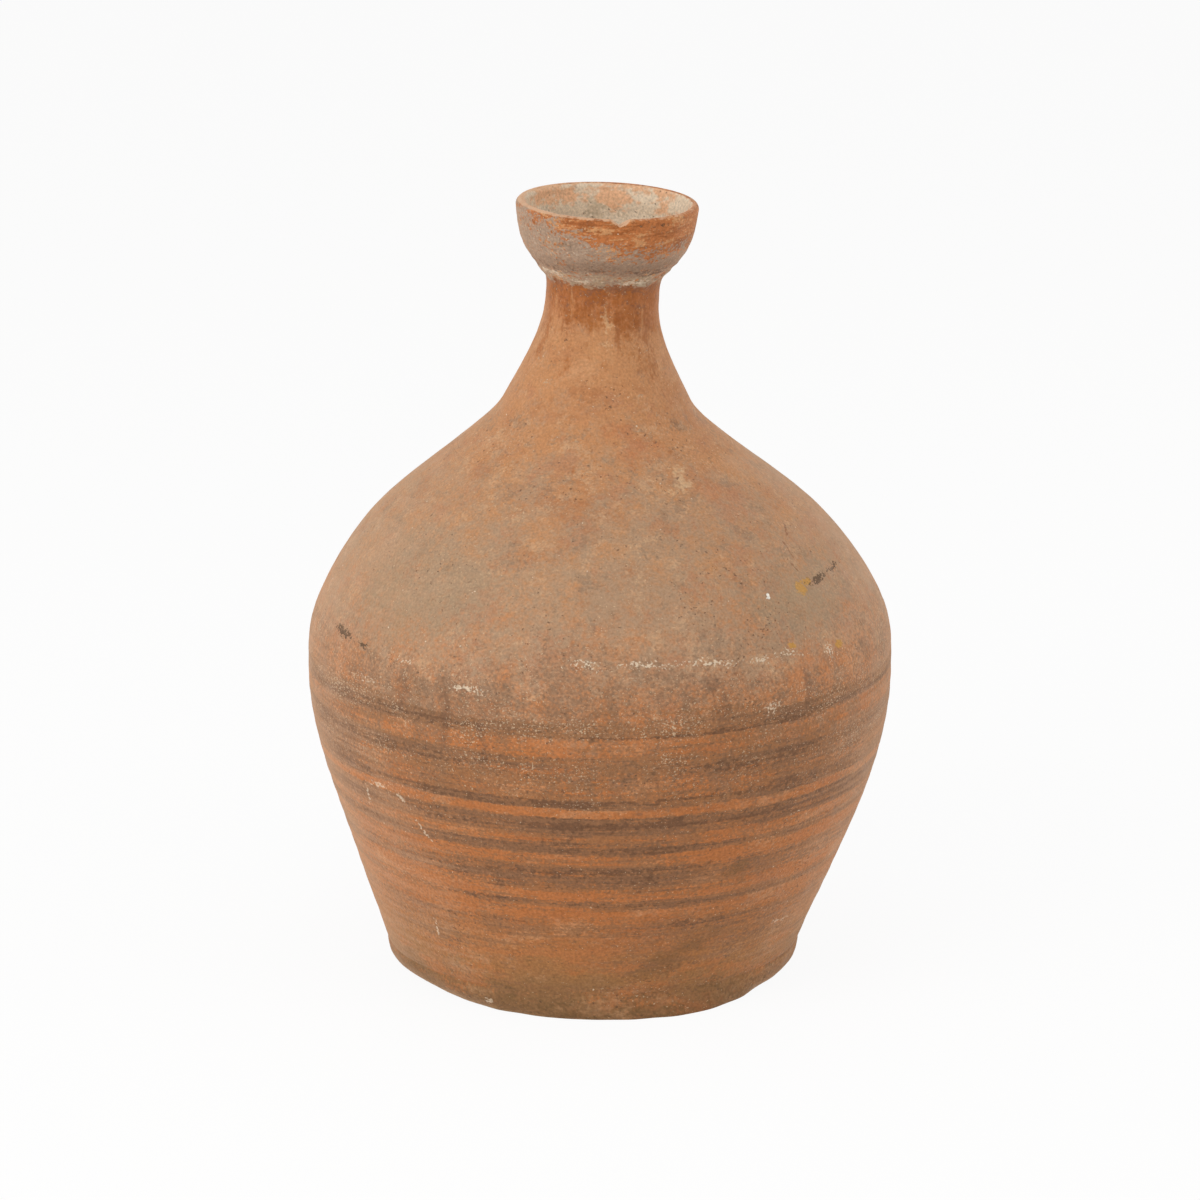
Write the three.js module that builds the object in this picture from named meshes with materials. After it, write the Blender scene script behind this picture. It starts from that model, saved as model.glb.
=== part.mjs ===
// A wine jug: a wheel-thrown earthenware bottle with a cup-shaped mouth on a narrow neck.
// It stands on a flat clay disc. Its wall is four thrown sections, each luted to what is below it with a
// ring of slip. Millimetres, +Z up, front towards -Y. The origin is on the underside, below the belly's axis.
import * as THREE from 'three';

// Heights of the clay pieces, from the foot up
const BASE_THICKNESS = 11;
const LOWER_BODY_HEIGHT = 141;
const SHOULDER_HEIGHT = 69;
const NECK_HEIGHT = 71;
const CUP_HEIGHT = 30;

// Outer radii of the wall at the places where it is measured, from the foot up
const FOOT_RADIUS = 87.5;
const FLANK_RADIUS = 101.7;
const BELLY_RADIUS = 123.9;
const BELLY_SEAM_RADIUS = 120.8;
const SHOULDER_RADIUS = 99.8;
const NECK_ROOT_RADIUS = 57.3;
const NECK_BEND_RADIUS = 40;
const THROAT_RADIUS = 24.2;
const MOUTH_SEAM_RADIUS = 25.8;
const CUP_TURN_RADIUS = 33.2;
const RIM_RADIUS = 39;

// Flare of the wall at the same places: how far the radius grows with each millimetre of height
const FOOT_FLARE = 0.46;
const FLANK_FLARE = 0.365;
const BELLY_SEAM_FLARE = -0.39;
const SHOULDER_FLARE = -0.84;
const NECK_ROOT_FLARE = -1.18;
const NECK_BEND_FLARE = -0.5;
const MOUTH_SEAM_FLARE = 0.55;
const CUP_TURN_FLARE = 0.68;
const RIM_FLARE = 0.18;

// How far the places between two seams lie from the seam that they are measured from
const FLANK_RISE = 32;
const BELLY_DROP = 25;
const NECK_BEND_RISE = 18;
const THROAT_DROP = 10;
const CUP_TURN_RISE = 9;

// Thickness of the clay, square to the wall, and the rounded lower edge of the base
const BODY_WALL = 8;
const NECK_WALL = 6.5;
const CUP_WALL = 4.5;
const BASE_EDGE_RADIUS = 4;

// A seam: a ring of slip that stands a little proud of the wall, with a gap to the clay on each side
const SLIP_THICKNESS = 1.4;
const SLIP_PROUD = 0.4;
const FIT_GAP = 0.3;

// The jug is out of true: the foot and the neck sit off the belly's axis, and the neck leans to the right
const FOOT_OFFSET = -3.2;
const NECK_OFFSET = -2.5;
const NECK_LEAN = THREE.MathUtils.degToRad(3.2);
const RIM_TILT = THREE.MathUtils.degToRad(2.2);

// Fineness of the meshes: sides of a turned piece, height of a row of a wall, steps of a rounded edge
const SIDES = 48;
const ROW_HEIGHT = 10;
const LEAST_ROWS = 8;
const EDGE_STEPS = 6;

// Heights of the seams
const SEAM = SLIP_THICKNESS + 2 * FIT_GAP;
const lowerBodyBottom = BASE_THICKNESS + SEAM;
const lowerBodyTop = lowerBodyBottom + LOWER_BODY_HEIGHT;
const shoulderBottom = lowerBodyTop + SEAM;
const shoulderTop = shoulderBottom + SHOULDER_HEIGHT;
const neckBottom = shoulderTop + SEAM;
const neckTop = neckBottom + NECK_HEIGHT;
const cupBottom = neckTop + SEAM;
const rimHeight = cupBottom + CUP_HEIGHT;

// The places where the wall is measured, from the foot up
function place(height, radius, flare, wall) {
  return { height, radius, flare, wall };
}

const places = [
  place(BASE_THICKNESS, FOOT_RADIUS, FOOT_FLARE, BODY_WALL),
  place(lowerBodyBottom + FLANK_RISE, FLANK_RADIUS, FLANK_FLARE, BODY_WALL),
  place(lowerBodyTop - BELLY_DROP, BELLY_RADIUS, 0, BODY_WALL),
  place(shoulderBottom, BELLY_SEAM_RADIUS, BELLY_SEAM_FLARE, BODY_WALL),
  place((shoulderBottom + shoulderTop) / 2, SHOULDER_RADIUS, SHOULDER_FLARE, BODY_WALL),
  place(neckBottom, NECK_ROOT_RADIUS, NECK_ROOT_FLARE, BODY_WALL),
  place(neckBottom + NECK_BEND_RISE, NECK_BEND_RADIUS, NECK_BEND_FLARE, NECK_WALL),
  place(neckTop - THROAT_DROP, THROAT_RADIUS, 0, NECK_WALL),
  place(cupBottom, MOUTH_SEAM_RADIUS, MOUTH_SEAM_FLARE, NECK_WALL),
  place(cupBottom + CUP_TURN_RISE, CUP_TURN_RADIUS, CUP_TURN_FLARE, CUP_WALL),
  place(rimHeight, RIM_RADIUS, RIM_FLARE, CUP_WALL),
];

// The outer wall between two places, as a curve of radius and height that rises evenly
function wallCurve(below, above) {
  const third = (above.height - below.height) / 3;
  return new THREE.CubicBezierCurve(
    new THREE.Vector2(below.radius, below.height),
    new THREE.Vector2(below.radius + below.flare * third, below.height + third),
    new THREE.Vector2(above.radius - above.flare * third, above.height - third),
    new THREE.Vector2(above.radius, above.height),
  );
}

// The outer and inner radius of the wall at a height
function wallAt(height) {
  const upper = Math.max(1, places.findIndex((measured) => measured.height >= height));
  const below = places[upper - 1];
  const above = places[upper];
  const share = (height - below.height) / (above.height - below.height);
  const curve = wallCurve(below, above);
  const outer = curve.getPoint(share).x;
  const thickness = THREE.MathUtils.lerp(below.wall, above.wall, share);
  return { outer, inner: outer - thickness / curve.getTangent(share).y };
}

// The closed profile of a length of wall: up the outside, over an edge if one is given, and down the inside
function wallProfile(bottom, top, edge = []) {
  const rows = Math.max(LEAST_ROWS, Math.ceil((top - bottom) / ROW_HEIGHT));
  const outside = [];
  const inside = [];
  for (let row = 0; row <= rows; row += 1) {
    const height = THREE.MathUtils.lerp(bottom, top, row / rows);
    const wall = wallAt(height);
    outside.push(new THREE.Vector2(wall.outer, height));
    inside.unshift(new THREE.Vector2(wall.inner, height));
  }
  return [...outside, ...edge, ...inside, outside[0]];
}

// The mouth cup ends in a rounded lip
function cupProfile() {
  const lipHeight = CUP_WALL / 2;
  const lipBottom = rimHeight - lipHeight;
  const { outer, inner } = wallAt(lipBottom);
  const lip = new THREE.EllipseCurve(
    (outer + inner) / 2, lipBottom, (outer - inner) / 2, lipHeight, 0, Math.PI,
  );
  return wallProfile(cupBottom, lipBottom, lip.getPoints(EDGE_STEPS).slice(1, -1));
}

// The base is a solid disc with a rounded lower edge
function baseProfile() {
  const edge = new THREE.EllipseCurve(
    FOOT_RADIUS - BASE_EDGE_RADIUS, BASE_EDGE_RADIUS, BASE_EDGE_RADIUS, BASE_EDGE_RADIUS, -Math.PI / 2, 0,
  );
  return [
    new THREE.Vector2(0, 0),
    ...edge.getPoints(EDGE_STEPS),
    new THREE.Vector2(FOOT_RADIUS, BASE_THICKNESS),
    new THREE.Vector2(0, BASE_THICKNESS),
  ];
}

// A ring of slip fills the seam over a piece that ends at a height, and bulges out of it a little
function slipProfile(seamBottom) {
  const bottom = seamBottom + FIT_GAP;
  const top = bottom + SLIP_THICKNESS;
  const middle = (bottom + top) / 2;
  const lower = wallAt(bottom);
  const upper = wallAt(top);
  const start = new THREE.Vector2(lower.outer, bottom);
  return [
    start,
    new THREE.Vector2(wallAt(middle).outer + SLIP_PROUD, middle),
    new THREE.Vector2(upper.outer, top),
    new THREE.Vector2(upper.inner, top),
    new THREE.Vector2(lower.inner, bottom),
    start,
  ];
}

// How far the jug's axis lies to the right of the belly's axis at a height
function axisOffset(height) {
  const { smoothstep } = THREE.MathUtils;
  const middle = (lowerBodyBottom + lowerBodyTop) / 2;
  const foot = FOOT_OFFSET * (1 - smoothstep(height, 0, middle));
  const root = NECK_OFFSET * smoothstep(height, shoulderBottom, neckBottom);
  const bend = smoothstep(height, neckBottom, neckBottom + NECK_BEND_RISE);
  return foot + root + Math.tan(NECK_LEAN) * bend * (height - neckBottom);
}

// Moves each level of a true piece onto the jug's own axis, and tilts the levels of the neck and the mouth
function bendToAxis(geometry) {
  const position = geometry.attributes.position;
  for (let index = 0; index < position.count; index += 1) {
    const across = position.getX(index);
    const height = position.getZ(index);
    const tilt = RIM_TILT * THREE.MathUtils.smoothstep(height, neckBottom, neckTop - THROAT_DROP);
    position.setX(index, across + axisOffset(height));
    position.setZ(index, height - across * Math.tan(tilt));
  }
}

// A piece turned on the wheel from a profile of radius and height
function thrown(name, profile, color, roughness) {
  const geometry = new THREE.LatheGeometry(profile, SIDES).rotateX(Math.PI / 2);
  bendToAxis(geometry);
  geometry.computeVertexNormals();
  const mesh = new THREE.Mesh(geometry, new THREE.MeshStandardMaterial({ color, roughness, metalness: 0 }));
  mesh.name = name;
  return mesh;
}

// Fired clay darkens to brown at the foot and turns warm orange at the neck. The slip is cream and gritty.
const FOOT_CLAY = '#8c6442';
const BODY_CLAY = '#9c6e4d';
const SHOULDER_CLAY = '#b08967';
const NECK_CLAY = '#b57d54';
const CUP_CLAY = '#ab886f';
const SLIP = '#c0a288';
const CLAY_ROUGHNESS = 0.82;
const SLIP_ROUGHNESS = 0.92;

const jug = new THREE.Group();
jug.name = 'wine_jug';
jug.add(
  thrown('base_disc', baseProfile(), FOOT_CLAY, CLAY_ROUGHNESS),
  thrown('foot_luting', slipProfile(BASE_THICKNESS), SLIP, SLIP_ROUGHNESS),
  thrown('lower_body', wallProfile(lowerBodyBottom, lowerBodyTop), BODY_CLAY, CLAY_ROUGHNESS),
  thrown('belly_luting', slipProfile(lowerBodyTop), SLIP, SLIP_ROUGHNESS),
  thrown('shoulder', wallProfile(shoulderBottom, shoulderTop), SHOULDER_CLAY, CLAY_ROUGHNESS),
  thrown('neck_luting', slipProfile(shoulderTop), SLIP, SLIP_ROUGHNESS),
  thrown('neck', wallProfile(neckBottom, neckTop), NECK_CLAY, CLAY_ROUGHNESS),
  thrown('mouth_luting', slipProfile(neckTop), SLIP, SLIP_ROUGHNESS),
  thrown('mouth_cup', cupProfile(), CUP_CLAY, CLAY_ROUGHNESS),
);

export default jug;
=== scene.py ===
"""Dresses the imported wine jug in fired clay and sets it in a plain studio.

The jug's sizes are in millimetres and become metres when a mesh is made. Angles around the jug are in degrees
from the front, which faces -Y, and grow towards the right, +X.
"""

from __future__ import annotations

import logging
import math
from dataclasses import dataclass, replace
from enum import Enum
from typing import Protocol

import bpy
import numpy as np
from bpy.types import Material, Node, NodeSocket, NodeTree, Object
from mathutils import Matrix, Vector, noise

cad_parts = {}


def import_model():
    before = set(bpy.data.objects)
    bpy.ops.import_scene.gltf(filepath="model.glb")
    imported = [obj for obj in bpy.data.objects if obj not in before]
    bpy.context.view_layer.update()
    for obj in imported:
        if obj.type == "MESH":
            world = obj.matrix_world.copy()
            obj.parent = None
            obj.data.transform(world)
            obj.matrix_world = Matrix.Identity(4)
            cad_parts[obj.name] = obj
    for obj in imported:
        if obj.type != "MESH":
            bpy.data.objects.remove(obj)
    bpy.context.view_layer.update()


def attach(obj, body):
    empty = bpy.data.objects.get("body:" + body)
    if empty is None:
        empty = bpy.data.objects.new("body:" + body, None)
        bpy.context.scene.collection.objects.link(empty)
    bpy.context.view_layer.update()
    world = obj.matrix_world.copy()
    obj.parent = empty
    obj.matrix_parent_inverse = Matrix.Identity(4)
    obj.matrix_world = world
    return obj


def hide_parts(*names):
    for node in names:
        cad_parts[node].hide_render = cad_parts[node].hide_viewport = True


Array = np.ndarray
# Radii and heights of points, one row for each level and one column for each side
Profile = tuple[Array, Array]

LOG = logging.getLogger("wine_jug")
MM = 0.001
MM_PER_M = 1000.0
# Faces that meet at more than this keep a sharp edge between them
SHARP_ANGLE = math.radians(55)
# Option of a range node that rises smoothly
SMOOTH = {"interpolation_type": "SMOOTHSTEP"}


def linear(colour: str) -> tuple[float, float, float, float]:
    """Turns an sRGB hex colour into the linear colour that the shaders take.

    Args:
        colour: Six hex digits after a hash sign.

    Returns:
        Red, green, blue and full opacity.
    """
    parts = [int(colour[start : start + 2], 16) / 255 for start in (1, 3, 5)]
    red, green, blue = (p / 12.92 if p <= 0.04045 else ((p + 0.055) / 1.055) ** 2.4 for p in parts)
    return red, green, blue, 1.0


def smoothstep(value: Array, low: float, high: float) -> Array:
    """Rises smoothly from 0 at low to 1 at high."""
    share = np.clip((value - low) / (high - low), 0.0, 1.0)
    return share * share * (3 - 2 * share)


def away(angle: Array, degrees: float) -> Array:
    """Finds how far angles in radians lie from one in degrees, the shorter way round, in degrees."""
    return np.abs((np.degrees(angle) - degrees + 180.0) % 360.0 - 180.0)


@dataclass(frozen=True)
class Place:
    """A height where the wall is known.

    Attributes:
        height: The height, in millimetres.
        radius: Outer radius there, in millimetres.
        flare: How far the radius grows with each millimetre of height.
        wall: Thickness of the clay, in millimetres.
    """

    height: float
    radius: float
    flare: float
    wall: float


@dataclass(frozen=True)
class JugForm:
    """The jug's form as the solids have it: the wall's profile, its seams, and an axis out of true."""

    # Heights of the clay pieces, from the foot up
    base_thickness: float = 11.0
    lower_body_height: float = 141.0
    shoulder_height: float = 69.0
    neck_height: float = 71.0
    cup_height: float = 30.0
    # Outer radii at the places where the wall is known
    foot_radius: float = 87.5
    flank_radius: float = 101.7
    belly_radius: float = 123.9
    belly_seam_radius: float = 120.8
    shoulder_radius: float = 99.8
    neck_root_radius: float = 57.3
    neck_bend_radius: float = 40.0
    throat_radius: float = 24.2
    mouth_seam_radius: float = 25.8
    cup_turn_radius: float = 33.2
    rim_radius: float = 39.0
    # How far the radius grows there with each millimetre of height
    foot_flare: float = 0.46
    flank_flare: float = 0.365
    belly_seam_flare: float = -0.39
    shoulder_flare: float = -0.84
    neck_root_flare: float = -1.18
    neck_bend_flare: float = -0.5
    mouth_seam_flare: float = 0.55
    cup_turn_flare: float = 0.68
    rim_flare: float = 0.18
    # How far the places between two seams lie from one of them
    flank_rise: float = 32.0
    belly_drop: float = 25.0
    neck_bend_rise: float = 18.0
    throat_drop: float = 10.0
    cup_turn_rise: float = 9.0
    # Thickness of the clay, of the slip in a seam, and of the gap on each side of the slip
    body_wall: float = 8.0
    neck_wall: float = 6.5
    cup_wall: float = 4.5
    slip_thickness: float = 1.4
    fit_gap: float = 0.3
    # How far foot and neck sit to the right of the belly's axis, and how far neck and mouth lean, in degrees
    foot_offset: float = -3.2
    neck_offset: float = -2.5
    neck_lean: float = 3.2
    rim_tilt: float = 2.2
    # Heights that follow from those: the lower and upper edges of the clay pieces
    seam: float = slip_thickness + 2 * fit_gap
    lower_body_bottom: float = base_thickness + seam
    lower_body_top: float = lower_body_bottom + lower_body_height
    shoulder_bottom: float = lower_body_top + seam
    shoulder_top: float = shoulder_bottom + shoulder_height
    neck_bottom: float = shoulder_top + seam
    neck_top: float = neck_bottom + neck_height
    cup_bottom: float = neck_top + seam
    rim_height: float = cup_bottom + cup_height
    # The places where the wall is known, from the foot up
    places: tuple[Place, ...] = (
        Place(base_thickness, foot_radius, foot_flare, body_wall),
        Place(lower_body_bottom + flank_rise, flank_radius, flank_flare, body_wall),
        Place(lower_body_top - belly_drop, belly_radius, 0.0, body_wall),
        Place(shoulder_bottom, belly_seam_radius, belly_seam_flare, body_wall),
        Place((shoulder_bottom + shoulder_top) / 2, shoulder_radius, shoulder_flare, body_wall),
        Place(neck_bottom, neck_root_radius, neck_root_flare, body_wall),
        Place(neck_bottom + neck_bend_rise, neck_bend_radius, neck_bend_flare, neck_wall),
        Place(neck_top - throat_drop, throat_radius, 0.0, neck_wall),
        Place(cup_bottom, mouth_seam_radius, mouth_seam_flare, neck_wall),
        Place(cup_bottom + cup_turn_rise, cup_turn_radius, cup_turn_flare, cup_wall),
        Place(rim_height, rim_radius, rim_flare, cup_wall),
    )

    def wall(self, height: Array) -> tuple[Array, Array]:
        """Finds the wall at some heights.

        Args:
            height: Heights in millimetres.

        Returns:
            The outer and the inner radius at each height.
        """
        columns = ("height", "radius", "flare", "wall")
        rows = [[getattr(place, name) for place in self.places] for name in columns]
        level, radius, flare, wall = np.array(rows)
        above = np.clip(np.searchsorted(level, height), 1, len(level) - 1)
        below = above - 1
        span = level[above] - level[below]
        t = (height - level[below]) / span
        start, end = flare[below] * span, flare[above] * span
        rise = radius[above] - radius[below]
        outer = radius[below] + t * (start + t * (3 * rise - 2 * start - end + t * (start + end - 2 * rise)))
        growth = (start + t * (2 * (3 * rise - 2 * start - end) + t * 3 * (start + end - 2 * rise))) / span
        thickness = wall[below] + t * (wall[above] - wall[below])
        return outer, outer - thickness * np.sqrt(1 + growth**2)

    def bend(self, angle: Array, radius: Array, height: Array) -> Array:
        """Puts points of the true form on the jug's own leaning axis.

        Args:
            angle: Angles around the axis, in radians from the front.
            radius: Distances from the axis.
            height: Heights on the axis.

        Returns:
            Points in metres, one row each.
        """
        across = radius * np.sin(angle)
        middle = (self.lower_body_bottom + self.lower_body_top) / 2
        foot = self.foot_offset * (1 - smoothstep(height, 0.0, middle))
        root = self.neck_offset * smoothstep(height, self.shoulder_bottom, self.neck_bottom)
        bent = smoothstep(height, self.neck_bottom, self.neck_bottom + self.neck_bend_rise)
        lean = math.tan(math.radians(self.neck_lean)) * bent * (height - self.neck_bottom)
        throat = self.neck_top - self.throat_drop
        tilt = math.radians(self.rim_tilt) * smoothstep(height, self.neck_bottom, throat)
        points = (across + foot + root + lean, -radius * np.cos(angle), height - across * np.tan(tilt))
        return np.stack([part.ravel() for part in points], axis=1) * MM


FORM = JugForm()


@dataclass(frozen=True)
class Bumps:
    """A smooth random pattern all round the jug.

    Attributes:
        radius: Radius at which the pattern has its stated size, in millimetres.
        across: Size of a bump round the jug, in millimetres.
        up: Size of a bump up the wall, in millimetres.
        shift: Distance into the noise, so that two patterns differ.
    """

    radius: float
    across: float
    up: float
    shift: float

    def at(self, angle: Array, height: Array) -> Array:
        """Samples the pattern.

        Args:
            angle: Angles in radians.
            height: Heights in millimetres.

        Returns:
            Values between about -1 and 1, shaped as the angles are.
        """
        x = np.sin(angle) * self.radius / self.across + self.shift
        y = np.cos(angle) * self.radius / self.across
        z = height / self.up + np.zeros_like(angle)
        points = np.stack([x.ravel(), y.ravel(), z.ravel()], axis=1).tolist()
        return np.array([noise.noise(point) for point in points]).reshape(angle.shape)


@dataclass(frozen=True)
class HandWork:
    """What the potter's hands and the wheel left on the outer wall, in millimetres."""

    # How far the true wall is drawn in, so that no bump reaches past the solids
    room: float = 0.5
    # Soft dents, and the coarse clay's grains
    dent: float = 0.4
    dents: Bumps = Bumps(FORM.belly_radius, 46.0, 46.0, 3.1)
    rough: float = 0.06
    grains: Bumps = Bumps(FORM.belly_radius, 3.5, 3.5, 11.0)
    # Throwing ridges with finer ones between them, which the dents push off their spiral
    ridge: float = 0.09
    ridge_pitch: float = 8.5
    ridge_sway: float = 2.2
    fine_ridge: float = 0.035
    fine_pitch: float = 3.1
    fine_sway: float = 4.0
    # How hard the fingers pressed, and the share of the ridges that was smoothed away above the belly seam
    press: float = 0.6
    press_change: float = 0.8
    presses: Bumps = Bumps(FORM.belly_radius, 90.0, 14.0, 7.7)
    smoothed: float = 0.65
    smoothed_fade: float = 12.0
    # Clay that smooths the turn from wall to base, and the crease that stayed open on the left
    foot_fill: float = 1.0
    foot_fill_height: float = 9.0
    crease: float = 0.4
    crease_height: float = 1.3
    crease_angle: float = -34.0
    crease_spread: float = 12.0

    def foot(self, angle: Array, height: Array) -> Array:
        """Finds the clay at the turn from wall to base.

        Args:
            angle: Angles in radians.
            height: Heights in millimetres.

        Returns:
            Thicknesses in millimetres.
        """
        above = height - FORM.base_thickness
        fill = self.foot_fill * np.exp(-((above / self.foot_fill_height) ** 2))
        open_share = np.exp(-((away(angle, self.crease_angle) / self.crease_spread) ** 2))
        return fill - self.crease * open_share * np.exp(-((above / self.crease_height) ** 2))

    def outside(self, angle: Array, height: Array) -> Array:
        """Finds how far the worked wall stands from the true one.

        Args:
            angle: Angles in radians.
            height: Heights in millimetres.

        Returns:
            Distances in millimetres, negative towards the axis.
        """
        dents = self.dent * self.dents.at(angle, height)
        press = self.press + self.press_change * self.presses.at(angle, height)
        turn = angle / (2 * np.pi)
        coarse = np.sin(2 * np.pi * (height / self.ridge_pitch + turn) + self.ridge_sway * dents)
        fine = np.sin(2 * np.pi * (height / self.fine_pitch + turn) + self.fine_sway * dents)
        above = smoothstep(height - FORM.lower_body_top, -self.smoothed_fade, self.smoothed_fade)
        ridges = (1 - self.smoothed * above) * press * (self.ridge * coarse + self.fine_ridge * fine)
        grain = self.rough * self.grains.at(angle, height)
        return dents + ridges + grain + self.foot(angle, height) - self.room


HANDS = HandWork()


@dataclass(frozen=True)
class LimeCrust:
    """The dry lime crust round the collar and the cup, thickest low down and on the left."""

    # Its lower edge, and the height where it thins out, which is higher towards the left
    bottom: float = 300.0
    bottom_fade: tuple[float, float] = (-2.2, 1.4)
    top: float = 316.0
    top_fade: float = 11.0
    lean: float = 14.0
    lean_angle: float = -80.0
    # Share of it that is left at that height, and how much more on the left
    top_share: float = 0.55
    lean_share: float = 0.2
    # How far its edges wander, and in what patches
    ragged: float = 3.4
    ragged_bottom: float = 1.6
    wide: Bumps = Bumps(FORM.rim_radius, 13.0, 8.0, 21.0)
    small: Bumps = Bumps(FORM.rim_radius, 4.0, 2.6, 23.0)
    small_share: float = 0.5
    # How thick it is, how much thicker at the collar, and its lumps
    lift: float = 0.18
    collar_lift: float = 0.7
    collar_fade: tuple[float, float] = (2.0, 8.0)
    lumpy: float = 1.2
    lumps: Bumps = Bumps(FORM.mouth_seam_radius, 3.6, 2.4, 31.0)

    def cover(self, angle: Array, height: Array) -> Array:
        """Finds how much of the crust is left.

        Args:
            angle: Angles in radians.
            height: Heights in millimetres.

        Returns:
            Shares from 0, bare clay, to 1, whole crust.
        """
        edge = self.ragged * (self.wide.at(angle, height) + self.small_share * self.small.at(angle, height))
        left = np.cos(angle - math.radians(self.lean_angle)).clip(0.0, 1.0)
        top = self.top + self.lean * left + edge
        share = self.top_share + self.lean_share * left + (top - height) / self.top_fade
        bottom = self.bottom + self.ragged_bottom * edge
        return smoothstep(height - bottom, *self.bottom_fade) * share.clip(0.0, 1.0)

    def thickness(self, angle: Array, height: Array) -> Array:
        """Finds how thick the crust is.

        Args:
            angle: Angles in radians.
            height: Heights in millimetres.

        Returns:
            Thicknesses in millimetres.
        """
        collar = 1 - smoothstep(height - self.bottom, *self.collar_fade)
        lumps = 1 + self.lumpy * self.lumps.at(angle, height)
        return self.cover(angle, height) * lumps * (self.lift + self.collar_lift * collar)


CRUST = LimeCrust()


class Trait(str, Enum):
    """What a mesh notes about each of its points, for the finishes to use."""

    WORN = "worn"
    INSIDE = "inside"
    CRUST = "crust"


def skin(rows: int, sides: int, poles: bool) -> list[list[int]]:
    """Lists the faces between rows of points round the axis.

    Args:
        rows: How many rows there are.
        sides: Points in each row.
        poles: Whether the ends close on two more points. Otherwise the last row meets the first.

    Returns:
        The points of each face.
    """
    here = np.arange(rows * sides).reshape(rows, sides)
    after = np.roll(here, -1, axis=1)
    quads = np.stack([here, after, np.roll(after, -1, axis=0), np.roll(here, -1, axis=0)], axis=-1)
    if not poles:
        return quads.reshape(-1, 4).tolist()
    bottom, top = rows * sides, rows * sides + 1
    faces = quads[:-1].reshape(-1, 4).tolist()
    faces += [[bottom, b, a] for a, b in zip(here[0].tolist(), after[0].tolist())]
    faces += [[top, a, b] for a, b in zip(here[-1].tolist(), after[-1].tolist())]
    return faces


def lathe(
    name: str, radius: Array, height: Array, traits: dict[Trait, Array], poles: bool
) -> Object:
    """Makes a piece from rows of points round the axis.

    Args:
        name: Name of the piece.
        radius: Distances from the axis, one row for each level of the profile and one column for each side.
        height: Heights, shaped as the radii are.
        traits: Notes for the finish, shaped as the radii are.
        poles: Whether the first and the last row close on the axis. Otherwise the last row meets the first.

    Returns:
        The new object, linked to the scene.
    """
    rows, sides = radius.shape
    angle = np.broadcast_to(np.arange(sides) * 2 * np.pi / sides, radius.shape)
    points = FORM.bend(angle, radius, height)
    if poles:
        middle = np.zeros(1)
        ends = [FORM.bend(middle, middle, row.mean(keepdims=True)) for row in (height[0], height[-1])]
        points = np.concatenate([points, *ends])
    mesh = bpy.data.meshes.new(name)
    mesh.from_pydata(points.tolist(), [], skin(rows, sides, poles))
    mesh.shade_smooth()
    mesh.set_sharp_from_angle(angle=SHARP_ANGLE)
    for trait, values in traits.items():
        noted = np.zeros(len(points))
        noted[: values.size] = values.ravel()
        mesh.attributes.new(trait.value, "FLOAT", "POINT").data.foreach_set("value", noted)
    piece = bpy.data.objects.new(name, mesh)
    bpy.context.scene.collection.objects.link(piece)
    return piece


class Kind(str, Enum):
    """The node types that the finishes and the studio use."""

    COORDINATES = "ShaderNodeTexCoord"
    SPLIT = "ShaderNodeSeparateXYZ"
    JOIN = "ShaderNodeCombineXYZ"
    NOISE = "ShaderNodeTexNoise"
    MATH = "ShaderNodeMath"
    VECTOR = "ShaderNodeVectorMath"
    RANGE = "ShaderNodeMapRange"
    MAPPING = "ShaderNodeMapping"
    MIX = "ShaderNodeMix"
    RAMP = "ShaderNodeValToRGB"
    SHADE = "ShaderNodeHueSaturation"
    ATTRIBUTE = "ShaderNodeAttribute"
    BUMP = "ShaderNodeBump"
    PRINCIPLED = "ShaderNodeBsdfPrincipled"
    DIFFUSE = "ShaderNodeBsdfDiffuse"
    EMISSION = "ShaderNodeEmission"
    BACKGROUND = "ShaderNodeBackground"
    MIX_SHADER = "ShaderNodeMixShader"
    LIGHT_PATH = "ShaderNodeLightPath"
    OUTPUT = "ShaderNodeOutputMaterial"
    WORLD_OUTPUT = "ShaderNodeOutputWorld"


Feed = NodeSocket | float | tuple
Feeds = dict[str | int, Feed]


def add(
    tree: NodeTree, kind: Kind, feeds: Feeds, out: str | int = 0, **settings: object
) -> NodeSocket | Node:
    """Adds one node to a tree.

    Args:
        tree: Tree that gets the node.
        kind: Type of the node.
        feeds: For each input, the socket that feeds it or its value.
        out: Output that the caller needs.
        **settings: Options of the node.

    Returns:
        That output, or the node itself if it has none.
    """
    node = tree.nodes.new(kind.value)
    for option, value in settings.items():
        setattr(node, option, value)
    for key, value in feeds.items():
        if isinstance(value, NodeSocket):
            tree.links.new(value, node.inputs[key])
        else:
            node.inputs[key].default_value = value
    return node.outputs[out] if node.outputs else node


@dataclass(frozen=True)
class Pattern:
    """Random patches.

    Attributes:
        across: Size of a patch round the jug, in millimetres.
        up: Size of a patch up the wall, in millimetres.
        amount: How far a strong patch raises or lowers what it varies, about half of it being usual.
        detail: Octaves of finer patches.
    """

    across: float
    up: float
    amount: float
    detail: float = 2.0


@dataclass(frozen=True)
class Coat:
    """The surface as painted so far: its colour, and its relief in millimetres."""

    colour: Feed
    relief: Feed


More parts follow.
